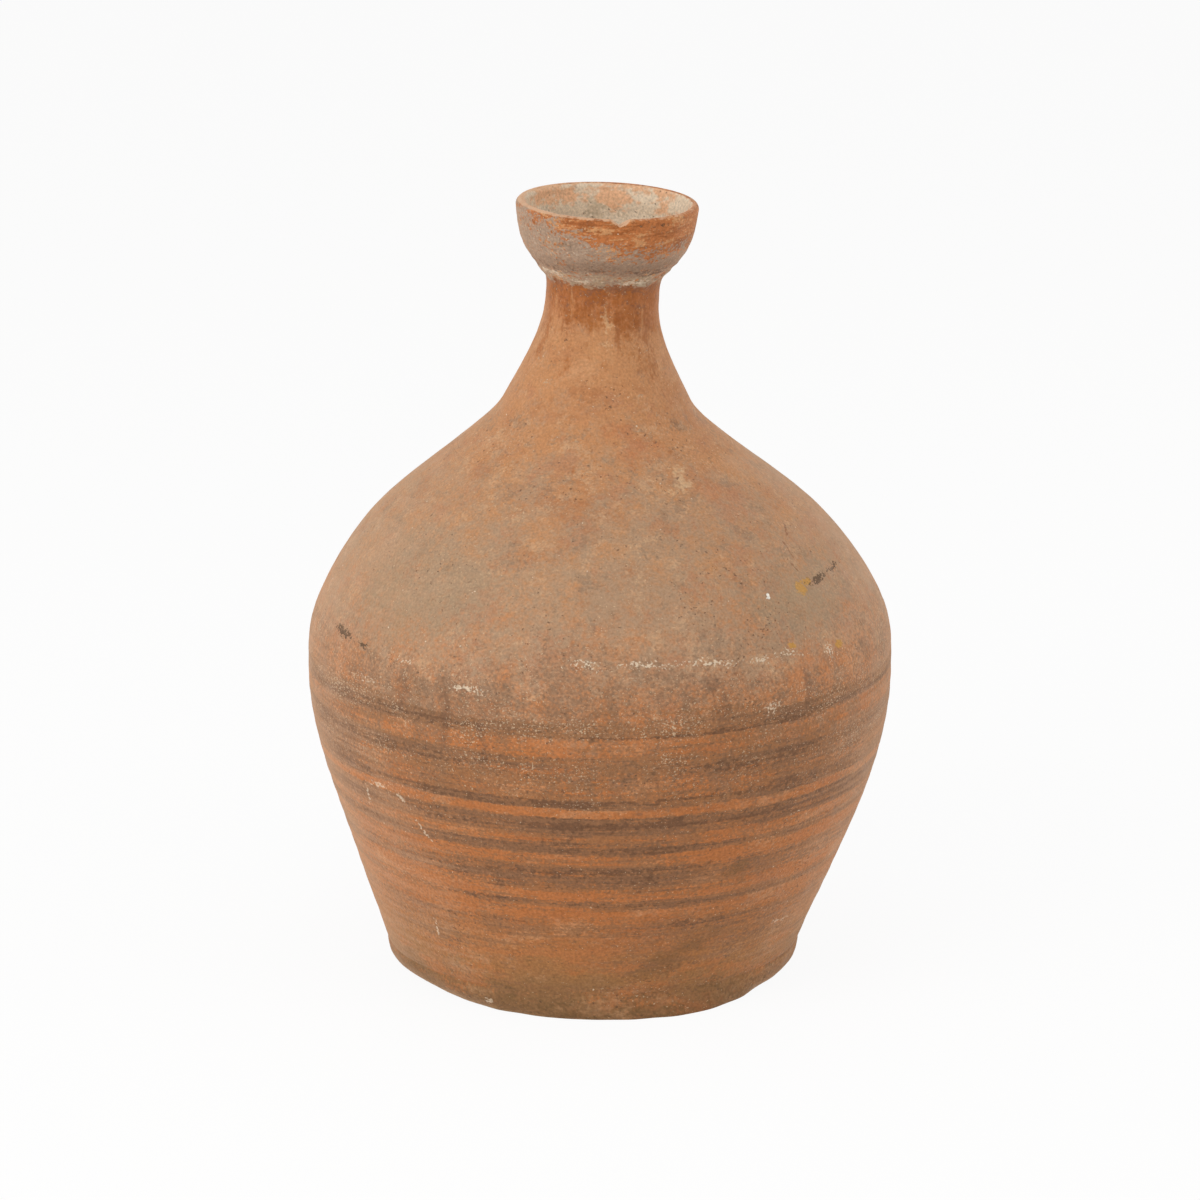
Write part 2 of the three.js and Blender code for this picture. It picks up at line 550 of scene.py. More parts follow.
class Painter:
    """Paints one material on the jug's own coordinates.

    Attributes:
        place: Position on the jug, in metres.
        height: Height above the ground, in millimetres.
        unrolled: The wall rolled out flat, as radians to the right of the front and height.
        stretch: What turns those into millimetres.
        tear: A small random offset that tears the edges of marks, in millimetres.
    """

    MIX_FACTOR, MIX_UNDER, MIX_OVER, MIX_RESULT = 0, 6, 7, 2
    TEAR_SIZE, TEAR_HEIGHTS, TEAR = 3.0, (3.0, 2.4), 1.6

    def __init__(self, name: str, tilt: float) -> None:
        """Starts an empty material.

        Args:
            name: Name of the material.
            tilt: How far level lines fall to the right, in degrees.
        """
        self.material = bpy.data.materials.new(name)
        self.material.use_nodes = True
        self.tree = self.material.node_tree
        self.tree.nodes.clear()
        self.place = self.add(Kind.COORDINATES, {}, "Object")
        x = self.add(Kind.SPLIT, {0: self.place}, "X")
        y, z = x.node.outputs["Y"], x.node.outputs["Z"]
        front = self.add(Kind.MATH, {0: y, 1: -1.0}, operation="MULTIPLY")
        turn = self.add(Kind.MATH, {0: x, 1: front}, operation="ARCTAN2")
        fall = math.tan(math.radians(tilt))
        level = self.add(Kind.MATH, {0: x, 1: fall, 2: z}, operation="MULTIPLY_ADD")
        self.height = self.add(Kind.MATH, {0: level, 1: MM_PER_M}, operation="MULTIPLY")
        self.unrolled = self.add(Kind.JOIN, {0: turn, 1: self.height})
        flat = self.add(Kind.VECTOR, {0: self.place, 1: (MM_PER_M, MM_PER_M, 0.0)}, operation="MULTIPLY")
        radius = self.add(Kind.VECTOR, {0: flat}, "Value", operation="LENGTH")
        self.stretch = self.add(Kind.JOIN, {0: radius, 1: 1.0})
        torn = [self.vary(0.0, (Pattern(self.TEAR_SIZE, size, self.TEAR),)) for size in self.TEAR_HEIGHTS]
        self.tear = self.add(Kind.JOIN, dict(enumerate(torn)))

    def add(self, kind: Kind, feeds: Feeds, out: str | int = 0, **settings: object) -> NodeSocket | Node:
        """Adds one node to this material, as the function of that name does."""
        return add(self.tree, kind, feeds, out, **settings)

    def cloud(self, across: float, up: float, detail: float = 3.0) -> NodeSocket:
        """Makes a soft random pattern.

        Args:
            across: Size of a patch round the jug, in millimetres.
            up: Size of a patch up the wall, in millimetres.
            detail: Octaves of finer patches.

        Returns:
            The pattern, from 0 to 1.
        """
        scale = (MM_PER_M / across, MM_PER_M / across, MM_PER_M / up)
        stretched = self.add(Kind.MAPPING, {"Vector": self.place, "Scale": scale})
        return self.add(Kind.NOISE, {"Vector": stretched, "Scale": 1.0, "Detail": detail})

    def vary(self, value: Feed, patterns: tuple[Pattern, ...]) -> Feed:
        """Raises and lowers a value at random over the jug.

        Args:
            value: Value to vary.
            patterns: Random patterns to add to it.

        Returns:
            The varied value.
        """
        for pattern in patterns:
            patches = self.cloud(pattern.across, pattern.up, pattern.detail)
            offset = self.add(Kind.MATH, {0: patches, 1: 0.5}, operation="SUBTRACT")
            feeds = {0: offset, 1: 2 * pattern.amount, 2: value}
            value = self.add(Kind.MATH, feeds, operation="MULTIPLY_ADD")
        return value

    def cover(self, coat: Coat, colour: str, mask: NodeSocket, lift: float = 0.0) -> Coat:
        """Lays a colour over a coat.

        Args:
            coat: What is there already.
            colour: Colour to lay on, in sRGB hex.
            mask: Where it lies, from 0 to 1.
            lift: How far it raises the surface, in millimetres.

        Returns:
            The coat with the colour on it.
        """
        feeds = {self.MIX_FACTOR: mask, self.MIX_UNDER: coat.colour, self.MIX_OVER: linear(colour)}
        mixed = self.add(Kind.MIX, feeds, self.MIX_RESULT, data_type="RGBA")
        relief = coat.relief
        if lift:
            relief = self.add(Kind.MATH, {0: mask, 1: lift, 2: relief}, operation="MULTIPLY_ADD")
        return Coat(mixed, relief)


class Layer(Protocol):
    """Something that lies in or on the clay."""

    def lay(self, painter: Painter, coat: Coat) -> Coat:
        """Paints the layer over a coat and returns the new coat."""


@dataclass(frozen=True)
class Tone:
    """A colour that takes over as the height passes from start to end, in millimetres."""

    start: float
    end: float
    colour: str


@dataclass(frozen=True)
class FiringTones:
    """The bare clay's own colours, which the fire turned from olive at the foot to orange at the neck."""

    tones: tuple[Tone, ...]
    sway: tuple[Pattern, ...]

    def lay(self, painter: Painter, coat: Coat) -> Coat:
        """Paints each tone over the one below it.

        Args:
            painter: What paints the material.
            coat: What is there already.

        Returns:
            The coat with the tones in it.
        """
        level = painter.vary(painter.height, self.sway)
        for tone in self.tones:
            mask = painter.add(Kind.RANGE, {0: level, 1: tone.start, 2: tone.end}, **SMOOTH)
            coat = painter.cover(coat, tone.colour, mask)
        return coat


@dataclass(frozen=True)
class Film:
    """Something thin in or on the clay, broken up by random patches.

    Attributes:
        colour: Its colour.
        patterns: The random patterns that vary its strength.
        start: Strength where it begins to show.
        end: Strength where it is whole.
        opacity: How far it hides the clay where it is whole.
        lift: How far it raises the surface, in millimetres.
    """

    colour: str
    patterns: tuple[Pattern, ...]
    start: float
    end: float
    opacity: float
    lift: float = 0.0

    def strength(self, painter: Painter) -> Feed:
        """Gives the strength before the patterns vary it: here the same everywhere."""
        return 0.5

    def lay(self, painter: Painter, coat: Coat) -> Coat:
        """Paints the film.

        Args:
            painter: What paints the material.
            coat: What is there already.

        Returns:
            The coat with the film on it.
        """
        strength = painter.vary(self.strength(painter), self.patterns)
        feeds = {0: strength, 1: self.start, 2: self.end, 4: self.opacity}
        return painter.cover(coat, self.colour, painter.add(Kind.RANGE, feeds, **SMOOTH), self.lift)


# A height in millimetres, and the strength of a film there
Level = tuple[float, float]


@dataclass(frozen=True)
class LevelFilm(Film):
    """A film whose strength changes with the height.

    Attributes:
        levels: Its strengths, from the foot up.
        sway: The random patterns that move it up and down, in millimetres.
    """

    levels: tuple[Level, ...] = ()
    sway: tuple[Pattern, ...] = ()

    def strength(self, painter: Painter) -> Feed:
        """Gives the strength at each height, which goes smoothly from one level to the next.

        Args:
            painter: What paints the material.

        Returns:
            The strength.
        """
        heights, strengths = zip(*self.levels)
        low, high = heights[0], heights[-1]
        share = painter.add(Kind.RANGE, {0: painter.vary(painter.height, self.sway), 1: low, 2: high})
        found = painter.add(Kind.RAMP, {0: share}, "Alpha")
        ramp = found.node.color_ramp
        ramp.interpolation = "EASE"
        ramp.elements.remove(ramp.elements[-1])
        ramp.elements[0].position = 0.0
        for height in heights[1:]:
            ramp.elements.new((height - low) / (high - low))
        for element, strength in zip(ramp.elements, strengths):
            element.color = (1.0, 1.0, 1.0, strength)
        return found


@dataclass(frozen=True)
class TraitFilm(Film):
    """A film that lies where the mesh notes a trait.

    Attributes:
        trait: The trait.
    """

    trait: Trait = Trait.WORN

    def strength(self, painter: Painter) -> Feed:
        """Gives the trait's own value."""
        return painter.add(Kind.ATTRIBUTE, {}, "Fac", attribute_name=self.trait.value)


@dataclass(frozen=True)
class Grain:
    """The coarse clay's own grain: lighter and darker specks about a millimetre across, a little rough.

    Attributes:
        size: Size of a grain, in millimetres. Drawn coarser than the real half millimetre, so that it shows.
        contrast: How far a grain is lighter or darker than the clay.
        relief: Height of a grain, in millimetres.
    """

    size: float = 1.15
    contrast: float = 0.5
    relief: float = 0.2

    def lay(self, painter: Painter, coat: Coat) -> Coat:
        """Lightens and darkens the clay grain by grain.

        Args:
            painter: What paints the material.
            coat: What is there already.

        Returns:
            The coat with the grain in it.
        """
        grain = painter.cloud(self.size, self.size, 2.0)
        shade = painter.add(
            Kind.MATH, {0: grain, 1: 2 * self.contrast, 2: 1 - self.contrast}, operation="MULTIPLY_ADD"
        )
        colour = painter.add(Kind.SHADE, {"Color": coat.colour, "Value": shade})
        relief = painter.add(Kind.MATH, {0: grain, 1: self.relief, 2: coat.relief}, operation="MULTIPLY_ADD")
        return Coat(colour, relief)


@dataclass(frozen=True)
class Mark:
    """A stain, chip or scratch at its own place on the wall.

    Attributes:
        angle: Angle of its middle, in degrees to the right of the front.
        height: Height of its middle, in millimetres.
        length: Length along its own direction, in millimetres.
        width: Width across that, in millimetres.
        tilt: How steeply it rises to the right, in degrees.
    """

    angle: float
    height: float
    length: float
    width: float
    tilt: float = 0.0

    def sides(self) -> tuple[tuple[float, float, float], ...]:
        """Works out its two directions.

        Returns:
            The directions along it and across it, each divided by how far it reaches that way.
        """
        turn = math.radians(self.tilt)
        along, across = self.length / 2, self.width / 2
        return (
            (math.cos(turn) / along, math.sin(turn) / along, 0.0),
            (-math.sin(turn) / across, math.cos(turn) / across, 0.0),
        )


@dataclass(frozen=True)
class MarkFilm(Film):
    """A film that lies only in marks of its own.

    Attributes:
        marks: Where they are.
    """

    marks: tuple[Mark, ...] = ()

    def strength(self, painter: Painter) -> Feed:
        """Finds how near each point is to the middle of a mark.

        Args:
            painter: What paints the material.

        Returns:
            The strength: 1 in the middle of a mark, 0 at its edge, and less outside.
        """
        nearest = None
        for mark in self.marks:
            middle = (math.radians(mark.angle), mark.height, 0.0)
            offset = painter.add(Kind.VECTOR, {0: painter.unrolled, 1: middle}, operation="SUBTRACT")
            feeds = {0: offset, 1: painter.stretch, 2: painter.tear}
            spot = painter.add(Kind.VECTOR, feeds, operation="MULTIPLY_ADD")
            feeds = {
                side: painter.add(Kind.VECTOR, {0: spot, 1: across}, "Value", operation="DOT_PRODUCT")
                for side, across in enumerate(mark.sides())
            }
            reach = painter.add(Kind.VECTOR, {0: painter.add(Kind.JOIN, feeds)}, "Value", operation="LENGTH")
            if nearest is not None:
                reach = painter.add(Kind.MATH, {0: nearest, 1: reach}, operation="MINIMUM")
            nearest = reach
        return painter.add(Kind.MATH, {0: 1.0, 1: nearest}, operation="SUBTRACT")


@dataclass(frozen=True)
class Earthenware:
    """Unglazed wheel-thrown earthenware: dry and matt, with a dusty sheen where it turns away from the eye.

    Attributes:
        name: Name of the material.
        slot: Material slot of the record; not used.
        clay: Colour of the bare clay, in sRGB hex.
        layers: What lies in and on the clay, from the inside out.
        tilt: How far its level lines fall to the right, in degrees.
    """

    # Most of a soft random pattern lies between these
    CLOUD_LOW, CLOUD_HIGH = 0.3, 0.7

    name: str
    slot: str
    clay: str
    layers: tuple[Layer, ...]
    tilt: float = 0.0
    # Fired clay barely shines, and the dust on it lights up towards its outline
    ior: float = 1.5
    specular: float = 0.25
    sheen: float = 0.55
    sheen_roughness: float = 0.45
    sheen_tint: str = "#dcb697"
    # Its roughness, and the size of the patches that handling rubbed smoother, in millimetres
    smoothest: float = 0.6
    roughest: float = 0.85
    rubbed_across: float = 9.0
    rubbed_up: float = 6.0

    def make(self) -> Material:
        """Builds the material.

        Returns:
            The material, ready to be given to a mesh.
        """
        painter = Painter(self.name, self.tilt)
        coat = Coat(linear(self.clay), 0.0)
        for layer in self.layers:
            coat = layer.lay(painter, coat)
        rubbed = painter.cloud(self.rubbed_across, self.rubbed_up)
        feeds = {0: rubbed, 1: self.CLOUD_LOW, 2: self.CLOUD_HIGH, 3: self.smoothest, 4: self.roughest}
        roughness = painter.add(Kind.RANGE, feeds)
        normal = painter.add(Kind.BUMP, {"Height": coat.relief, "Distance": MM, "Strength": 1.0})
        feeds = {
            "Base Color": coat.colour,
            "Roughness": roughness,
            "Normal": normal,
            "IOR": self.ior,
            "Specular IOR Level": self.specular,
            "Sheen Weight": self.sheen,
            "Sheen Roughness": self.sheen_roughness,
            "Sheen Tint": linear(self.sheen_tint),
        }
        shader = painter.add(Kind.PRINCIPLED, feeds)
        painter.add(Kind.OUTPUT, {"Surface": shader})
        return painter.material


# Colours of the bare clay, dry lime, a fresh white break, pits, dark smears and a worn edge
BARE_CLAY = "#86623f"
CREAM = "#e2cdb2"
WHITE = "#efe8da"
PIT = "#553a29"
SMUDGE = "#4f3a27"
BROKEN_CLAY = "#d9b08d"

# Each film has a colour, patterns, the strengths where it starts and is whole, an opacity and perhaps a lift

# Clay fired in smoke and air: olive at the foot, orange up the wall, tan on the shoulder, orange at the mouth
FIRED = FiringTones(
    (
        Tone(2, 26, "#9e7043"),
        Tone(12, 58, "#b26d3b"),
        Tone(118, 160, "#b8794c"),
        Tone(160, 200, "#b98357"),
        Tone(205, 240, "#b98256"),
        Tone(276, 296, "#ad6a3c"),
    ),
    (Pattern(60, 30, 14), Pattern(14, 6, 6)),
)
# Patches of a few centimetres and of a few millimetres, where the fire reached the clay unevenly
UNEVEN = (
    Film("#9c5f38", (Pattern(30, 14, 0.9), Pattern(4, 3, 0.4)), 0.45, 1, 0.5),
    Film("#c99b73", (Pattern(24, 12, 0.9), Pattern(2.5, 1.6, 0.5)), 0.5, 1.05, 0.4),
)
# Grit of half a millimetre to two, and pits where grains fell out
GRIT = (
    Film("#d9bc98", (Pattern(1.1, 0.9, 1.5), Pattern(30, 20, 0.3)), 1.07, 1.25, 0.6, 0.1),
    Film(CREAM, (Pattern(2, 1.7, 1.5, 1), Pattern(50, 50, 0.2)), 1.39, 1.48, 0.8, 0.15),
    Film(PIT, (Pattern(1.6, 1.2, 1.5, 1), Pattern(24, 20, 0.5)), 1.18, 1.34, 0.6, -0.3),
)
# The lower half was left rough, and the upper half was smoothed
GRITTY = (Grain(), *GRIT)
SMOOTHED = (Grain(1, 0.36, 0.15), *GRIT)
# Lime grit that dried on the belly, most of it in two rows
BELLY_GRIT = LevelFilm(
    "#d8bd9c",
    (Pattern(0.75, 0.65, 1.7), Pattern(2.4, 0.6, 0.6), Pattern(20, 11, 0.6)),
    0.9, 1.35, 0.7, 0.12,
    levels=(
        (84, 0), (104, 0.32), (121, 0.54), (128, 0.38),
        (137, 0.58), (152, 0.44), (176, 0),
    ),
)

# Smoke bands along the throwing lines: strong in a dark band, weak in a line of bare orange clay
BANDS = (
    (2, 0.5), (38, 0.56), (44.5, 0.68), (52, 0.46), (57, 0.86), (59.5, 0.5), (61.5, 0.5),
    (63.5, 0.72), (67, 0.84), (73, 0.79), (77, 0.5), (80, 0.5), (81.5, 0.92), (84, 0.92),
    (86, 0.62), (89, 0.62), (90.5, 0.94), (97.8, 0.98), (98.9, 0.34), (101.4, 0.34), (102.4, 1),
    (104.8, 0.95), (107, 0.78), (117, 0.78), (120.5, 0.93), (124, 0.88), (126, 0.6), (132, 0.62),
    (134, 0.96), (138, 0.91), (141, 0.55), (158, 0),
)
# How much stronger than where it starts to show the smoke is where it is whole
SMOKE_EDGE = 0.13


def smoke(colour: str, start: float, opacity: float, scale: float) -> LevelFilm:
    """Makes a film of smoke in the bands, torn into streaks some centimetres long and a millimetre high.

    Args:
        colour: Its colour.
        start: Strength where it begins to show.
        opacity: How far it hides the clay.
        scale: Size of its streaks, so that those of one film don't fall on another's.

    Returns:
        The film.
    """
    patterns = (
        Pattern(70, 50, 0.38),
        Pattern(110 * scale, 2.2 * scale, 0.5),
        Pattern(35 * scale, 0.9 * scale, 0.35),
        Pattern(8 * scale, 1.5 * scale, 0.2),
        Pattern(10 * scale, 40, 0.2),
        Pattern(1.5 * scale, 1.1 * scale, 0.5),
    )
    sway = (Pattern(160, 90, 3), Pattern(30, 10, 1), Pattern(5, 1.5, 0.8))
    return LevelFilm(colour, patterns, start, start + SMOKE_EDGE, opacity, levels=BANDS, sway=sway)


BANDED = (
    smoke("#8e6442", 0.58, 0.7, 1),
    smoke("#7c593f", 0.78, 0.7, 0.9),
    smoke("#5b3d2a", 0.94, 0.56, 1.35),
)
# Smoke that drifted up over the belly in soft upright smudges
HAZE = LevelFilm(
    "#86674e",
    (Pattern(11, 30, 0.42), Pattern(50, 40, 0.4), Pattern(5, 5, 0.45), Pattern(1.5, 1.2, 0.8)),
    0.55, 1.2, 0.8,
    levels=(
        (88, 0), (96, 0.35), (106, 0.6), (121, 0.85), (125, 0.72), (132.5, 0.68),
        (137, 0.9), (150, 0.88), (160, 0.68), (172, 0.42), (190, 0.3), (200, 0),
    ),
    sway=(Pattern(40, 30, 8),),
)
SMOKE_SMUDGES = MarkFilm(
    "#6b4b37", (Pattern(1.5, 1.3, 0.9), Pattern(6, 9, 1.3)), 0.25, 1.05, 0.48,
    marks=(
        Mark(-41, 143, 26, 12, 90),
        Mark(-31, 137, 36, 9, 90),
        Mark(-23, 133, 34, 8, 90),
        Mark(24, 148, 34, 24, 90),
        Mark(44, 144, 30, 10, 90),
    ),
)
# Grey-tan dust that settled on the shoulder, with reddish, grey and pale patches of one to three centimetres
MOTTLED = ((122, 0), (150, 0.5), (238, 0.5), (275, 0.1))
DUSTY = (
    LevelFilm(
        "#a6886c",
        (Pattern(40, 26, 0.5), Pattern(12, 16, 0.36), Pattern(5, 9, 0.42), Pattern(1.7, 1.4, 0.48)),
        0.1, 1, 0.9,
        levels=(
            (118, 0), (142, 0.34), (160, 0.64), (190, 0.74),
            (214, 0.6), (240, 0.3), (275, 0.05),
        ),
        sway=(Pattern(50, 40, 16),),
    ),
    LevelFilm(
        "#ad7552", (Pattern(20, 13, 1), Pattern(4.5, 5, 0.6), Pattern(1.8, 1.5, 0.6)), 0.62, 0.95, 0.48,
        levels=MOTTLED,
    ),
    LevelFilm(
        "#87705a", (Pattern(16, 11, 1), Pattern(5, 6.5, 0.7), Pattern(1.5, 1.3, 0.7)), 0.68, 1, 0.46,
        levels=MOTTLED,
    ),
    LevelFilm(
        "#c9a17b", (Pattern(13, 9, 1), Pattern(3.6, 3, 0.7), Pattern(1.3, 1.1, 0.7)), 0.7, 1, 0.4,
        levels=MOTTLED,
    ),
)
# Pale tan painted over the bands at both sides: a painted sheen where light grazes the jug's edges
PAINTED_SIDE_SHEEN = MarkFilm(
    "#bb9170", (Pattern(40, 55, 0.6), Pattern(45, 1.8, 0.8), Pattern(1.6, 1.3, 0.5)), 0, 1, 0.45,
    marks=(
        Mark(-74, 90, 270, 180, 90),
        Mark(82, 94, 220, 160, 90),
        Mark(-64, 190, 56, 60),
        Mark(86, 190, 56, 90),
    ),
)
# Olive dust, thick on the left of the shoulder
GREY_DUST = MarkFilm(
    "#9b8367", (Pattern(24, 18, 0.4), Pattern(6, 8, 0.3), Pattern(1.7, 1.4, 0.4)), 0.05, 1, 0.65,
    marks=(Mark(-50, 180, 140, 60), Mark(52, 178, 90, 40)),
)
# Earth that was rubbed into the foot, and the orange clay that shows through it in streaks and specks
EARTHY = (
    LevelFilm(
        "#6f5230", (Pattern(16, 6, 0.8), Pattern(4, 2, 0.6), Pattern(1.6, 1.3, 0.7)), 0.35, 0.95, 0.66,
        levels=((0, 0.6), (8, 0.46), (16, 0.3), (40, 0)),
        sway=(Pattern(30, 20, 10),),
    ),
    LevelFilm(
        "#b2703f", (Pattern(38, 8, 1.1), Pattern(11, 3, 0.7), Pattern(1.3, 1.1, 0.8)), 0.5, 1, 0.7,
        levels=((0, 0.1), (16, 0.5), (44, 0.45), (64, 0)),
    ),
)
# Olive earth on the right of the lower body
EARTH_PATCHES = MarkFilm(
    "#7c5835", (Pattern(1.6, 1.4, 0.6), Pattern(10, 4, 0.9)), 0.15, 0.9, 0.65,
    marks=(Mark(31, 68, 18, 15, 20), Mark(19, 29, 60, 18, 34)),
)

# What dried or was rubbed on breaks up into crumbs a millimetre across
CRUMBLED = (Pattern(1.1, 0.9, 1.3), Pattern(5, 2.5, 0.6))
# The broken line of lime along the belly seam
LIME_LINE = MarkFilm(
    CREAM, (Pattern(1.1, 0.9, 1.7), Pattern(5, 2.5, 0.6)), 0.62, 1.05, 0.75, 0.15,
    marks=(
        Mark(-51.5, 145.5, 20, 5, -10),
        Mark(-42, 156.6, 17, 4, -3),
        Mark(-26.5, 150.8, 26, 4, -2),
        Mark(-3, 163.6, 26, 6, -4),
        Mark(9.5, 162.9, 38, 4.5, -4),
        Mark(22.5, 161.7, 40, 5.5, -5),
        Mark(33, 160.2, 26, 4),
        Mark(41, 160, 26, 6, -5),
        Mark(51.5, 157, 11, 11),
    ),
)
# Lime scraped over the bands, and a lump of it on the foot
LIME_SCRAPES = MarkFilm(
    CREAM, CRUMBLED, 0.5, 0.9, 0.6,
    marks=(
        Mark(-51, 99.5, 20, 3.2, 4),
        Mark(-55, 93, 18, 2.6, 84),
        Mark(-43.5, 97, 16, 3.6, -40),
        Mark(-39.2, 84, 20, 2.2, -58),
        Mark(-43.6, 35.5, 14, 2.4, 85),
        Mark(54, 34.3, 30, 2.2, -3),
        Mark(34.5, 140.5, 14, 7, 5),
        Mark(44, 90.3, 9, 1.6, 8),
    ),
)
FOOT_LIME = MarkFilm(CREAM, CRUMBLED, 0.3, 0.6, 0.8, 0.2, marks=(Mark(-31.5, 4.5, 5, 3.6),))
# Yellow and dark smears, fine cracks and a white chip on the shoulder
SMEARS = (
    MarkFilm(
        "#bd8a3c", (Pattern(1.6, 1.3, 0.5), Pattern(4, 4, 0.5)), 0.2, 0.6, 0.85,
        marks=(
            Mark(51.2, 181.5, 9, 9),
            Mark(54.5, 182.4, 10, 4),
            Mark(42, 162.5, 6, 4),
            Mark(55.5, 158, 8, 5),
            Mark(58.8, 153.5, 8, 6),
        ),
    ),
    MarkFilm(
        SMUDGE, CRUMBLED, 0.4, 0.7, 0.9,
        marks=(
            Mark(58.5, 182.2, 24, 4.5),
            Mark(68, 182.8, 26, 3.2, 3),
            Mark(-63.5, 159, 26, 5, -4),
            Mark(-55, 157.5, 14, 3, -8),
            Mark(-31.2, 154.2, 11, 7, -10),
        ),
    ),
)
CRACKS = MarkFilm(
    "#7d5033", (Pattern(1.1, 0.9, 0.9), Pattern(5, 4, 0.6)), 0.3, 0.6, 0.65,
    marks=(
        Mark(60, 199.8, 14, 1.7, 35),
        Mark(53, 189, 12, 1.4, -60),
        Mark(55.3, 194.6, 10, 1.4, 82),
    ),
)
WHITE_CHIP = MarkFilm(
    WHITE, (Pattern(2, 2, 0.3),), 0.2, 0.5, 1, -0.2, marks=(Mark(40.5, 181.5, 3.2, 2.4, 20),)
)
# A reddish patch, a pale one and a dark smudge near the root of the neck
ROOT_MARKS = (
    MarkFilm(
        "#b16c44", (Pattern(1.6, 1.4, 0.6), Pattern(9, 6, 1.2)), 0.1, 1.1, 0.5,
        marks=(Mark(46, 217, 34, 20, -20), Mark(20, 237, 34, 18, -10)),
    ),
    MarkFilm(
        "#d3b088", (Pattern(1.6, 1.4, 0.8), Pattern(6, 5, 1)), 0.3, 1, 0.6,
        marks=(Mark(34, 223.5, 26, 13, 35),),
    ),
    MarkFilm(
        "#74533a", (Pattern(1.6, 1.4, 0.8), Pattern(5, 5, 0.8)), 0.3, 1, 0.6,
        marks=(Mark(48, 243, 14, 8, -30),),
    ),
)
# Clay that handling rubbed bare on the lip, with a painted highlight that grows towards the lit left, and
# duller on the foot
WORN_EDGE_AND_HIGHLIGHT = TraitFilm(BROKEN_CLAY, (Pattern(3, 3, 0.5), Pattern(1, 1, 0.4)), 0.35, 0.8, 0.8)
RUBBED_FOOT = replace(WORN_EDGE_AND_HIGHLIGHT, colour="#a98458", opacity=0.6)

# Stain that ran down the neck from under the cup, in dark and pale runs some millimetres wide
STAINED = (
    LevelFilm(
        "#9a5823",
        (Pattern(14, 50, 0.7), Pattern(3.5, 25, 0.5), Pattern(6, 7, 0.6), Pattern(1.2, 1.6, 0.5)),
        0.3, 0.95, 0.8,
        levels=((252, 0), (272, 0.25), (288, 0.6), (300, 0.85)),
    ),
    MarkFilm(
        "#8a4a1c", (Pattern(3, 14, 1), Pattern(5, 5, 0.8), Pattern(1.2, 1.5, 0.8)), 0.2, 1.1, 0.58,
        marks=(
            Mark(36, 284, 44, 12, 90),
            Mark(50, 278, 54, 9, 86),
            Mark(-38, 287, 30, 18, 92),
            Mark(-6, 292, 20, 20, 90),
            Mark(17, 284, 40, 5, 88),
        ),
    ),
    LevelFilm(
        "#cb9a6c", (Pattern(5, 40, 0.8), Pattern(1.2, 6, 0.5)), 0.5, 0.95, 0.5,
        levels=((240, 0.1), (268, 0.4), (297, 0.35)),
    ),
)
# A run of lime down the neck, and dirt under the collar with painted shade under its ledge
LIME_RUN = MarkFilm(
    "#d2ac82", (Pattern(1.2, 1.8, 1.2), Pattern(4, 5, 0.9)), 0.45, 1.1, 0.5, 0.2,
    marks=(Mark(7, 282, 44, 6, 88),),
)
COLLAR_DIRT_AND_SHADE = LevelFilm(
    "#76503c", (Pattern(7, 4, 1), Pattern(2.2, 1.5, 0.8), Pattern(1.1, 0.9, 0.8)), 0.55, 1.1, 0.6,
    levels=((282, 0), (292, 0.5), (298.5, 0.95)),
)
# The collar's ridge and the crevice above it run up and down a little
COLLAR_SWAY = (Pattern(16, 9, 1.8), Pattern(3.5, 3, 1))
# Lime crust: grey, with pale crumbs and darker patches painted as the shade of its hollows, a ridge round the
# collar and lumps on it
LIME = (
    TraitFilm(
        "#9e8773", (Pattern(1.2, 0.9, 1.2), Pattern(3.6, 1.9, 0.8), Pattern(12, 5, 0.6)), 0.42, 0.9, 0.92,
        trait=Trait.CRUST,
    ),
    TraitFilm(
        "#c0ac98", (Pattern(1.3, 1, 1.3), Pattern(14, 6, 0.5)), 1.15, 1.6, 0.6, trait=Trait.CRUST
    ),
    # Painted shade of the crust's hollows, in random dark patches
    TraitFilm("#7d6650", (Pattern(6, 2.4, 0.9), Pattern(1.3, 1, 0.8)), 1.1, 1.6, 0.7, trait=Trait.CRUST),
    LevelFilm(
        "#ad987c", (Pattern(12, 9, 1.1), Pattern(4, 1.8, 0.8), Pattern(1.2, 0.9, 1)), 0.6, 1, 0.55,
        levels=((296.5, 0), (299.5, 0.74), (303.5, 0.8), (305.5, 0)),
        sway=COLLAR_SWAY,
    ),
    MarkFilm(
        "#d8c6ae",
        (Pattern(2, 1.3, 1), Pattern(5, 2.4, 0.7), Pattern(0.9, 0.8, 0.6)),
        0.35, 0.8, 0.75, 0.25,
        marks=(
            Mark(-46, 302.5, 24, 5, -4),
            Mark(-16, 300.5, 10, 4),
            Mark(33, 301, 22, 4.5, 3),
            Mark(92, 301, 24, 4),
            Mark(160, 302, 28, 5),
            Mark(-118, 303, 28, 5),
        ),
    ),
)
# Dark and pale throwing lines of the cup's orange clay
CUP_LINES = (
    Film(
        "#8d4f24", (Pattern(24, 2.4, 1), Pattern(5, 1.2, 0.8), Pattern(1.3, 1, 0.5)), 0.45, 0.85, 0.8,
    ),
    Film(
        "#cf9c6b", (Pattern(14, 4, 0.9), Pattern(5, 0.8, 0.8), Pattern(1.3, 1, 0.6)), 0.52, 0.9, 0.65,
    ),
)
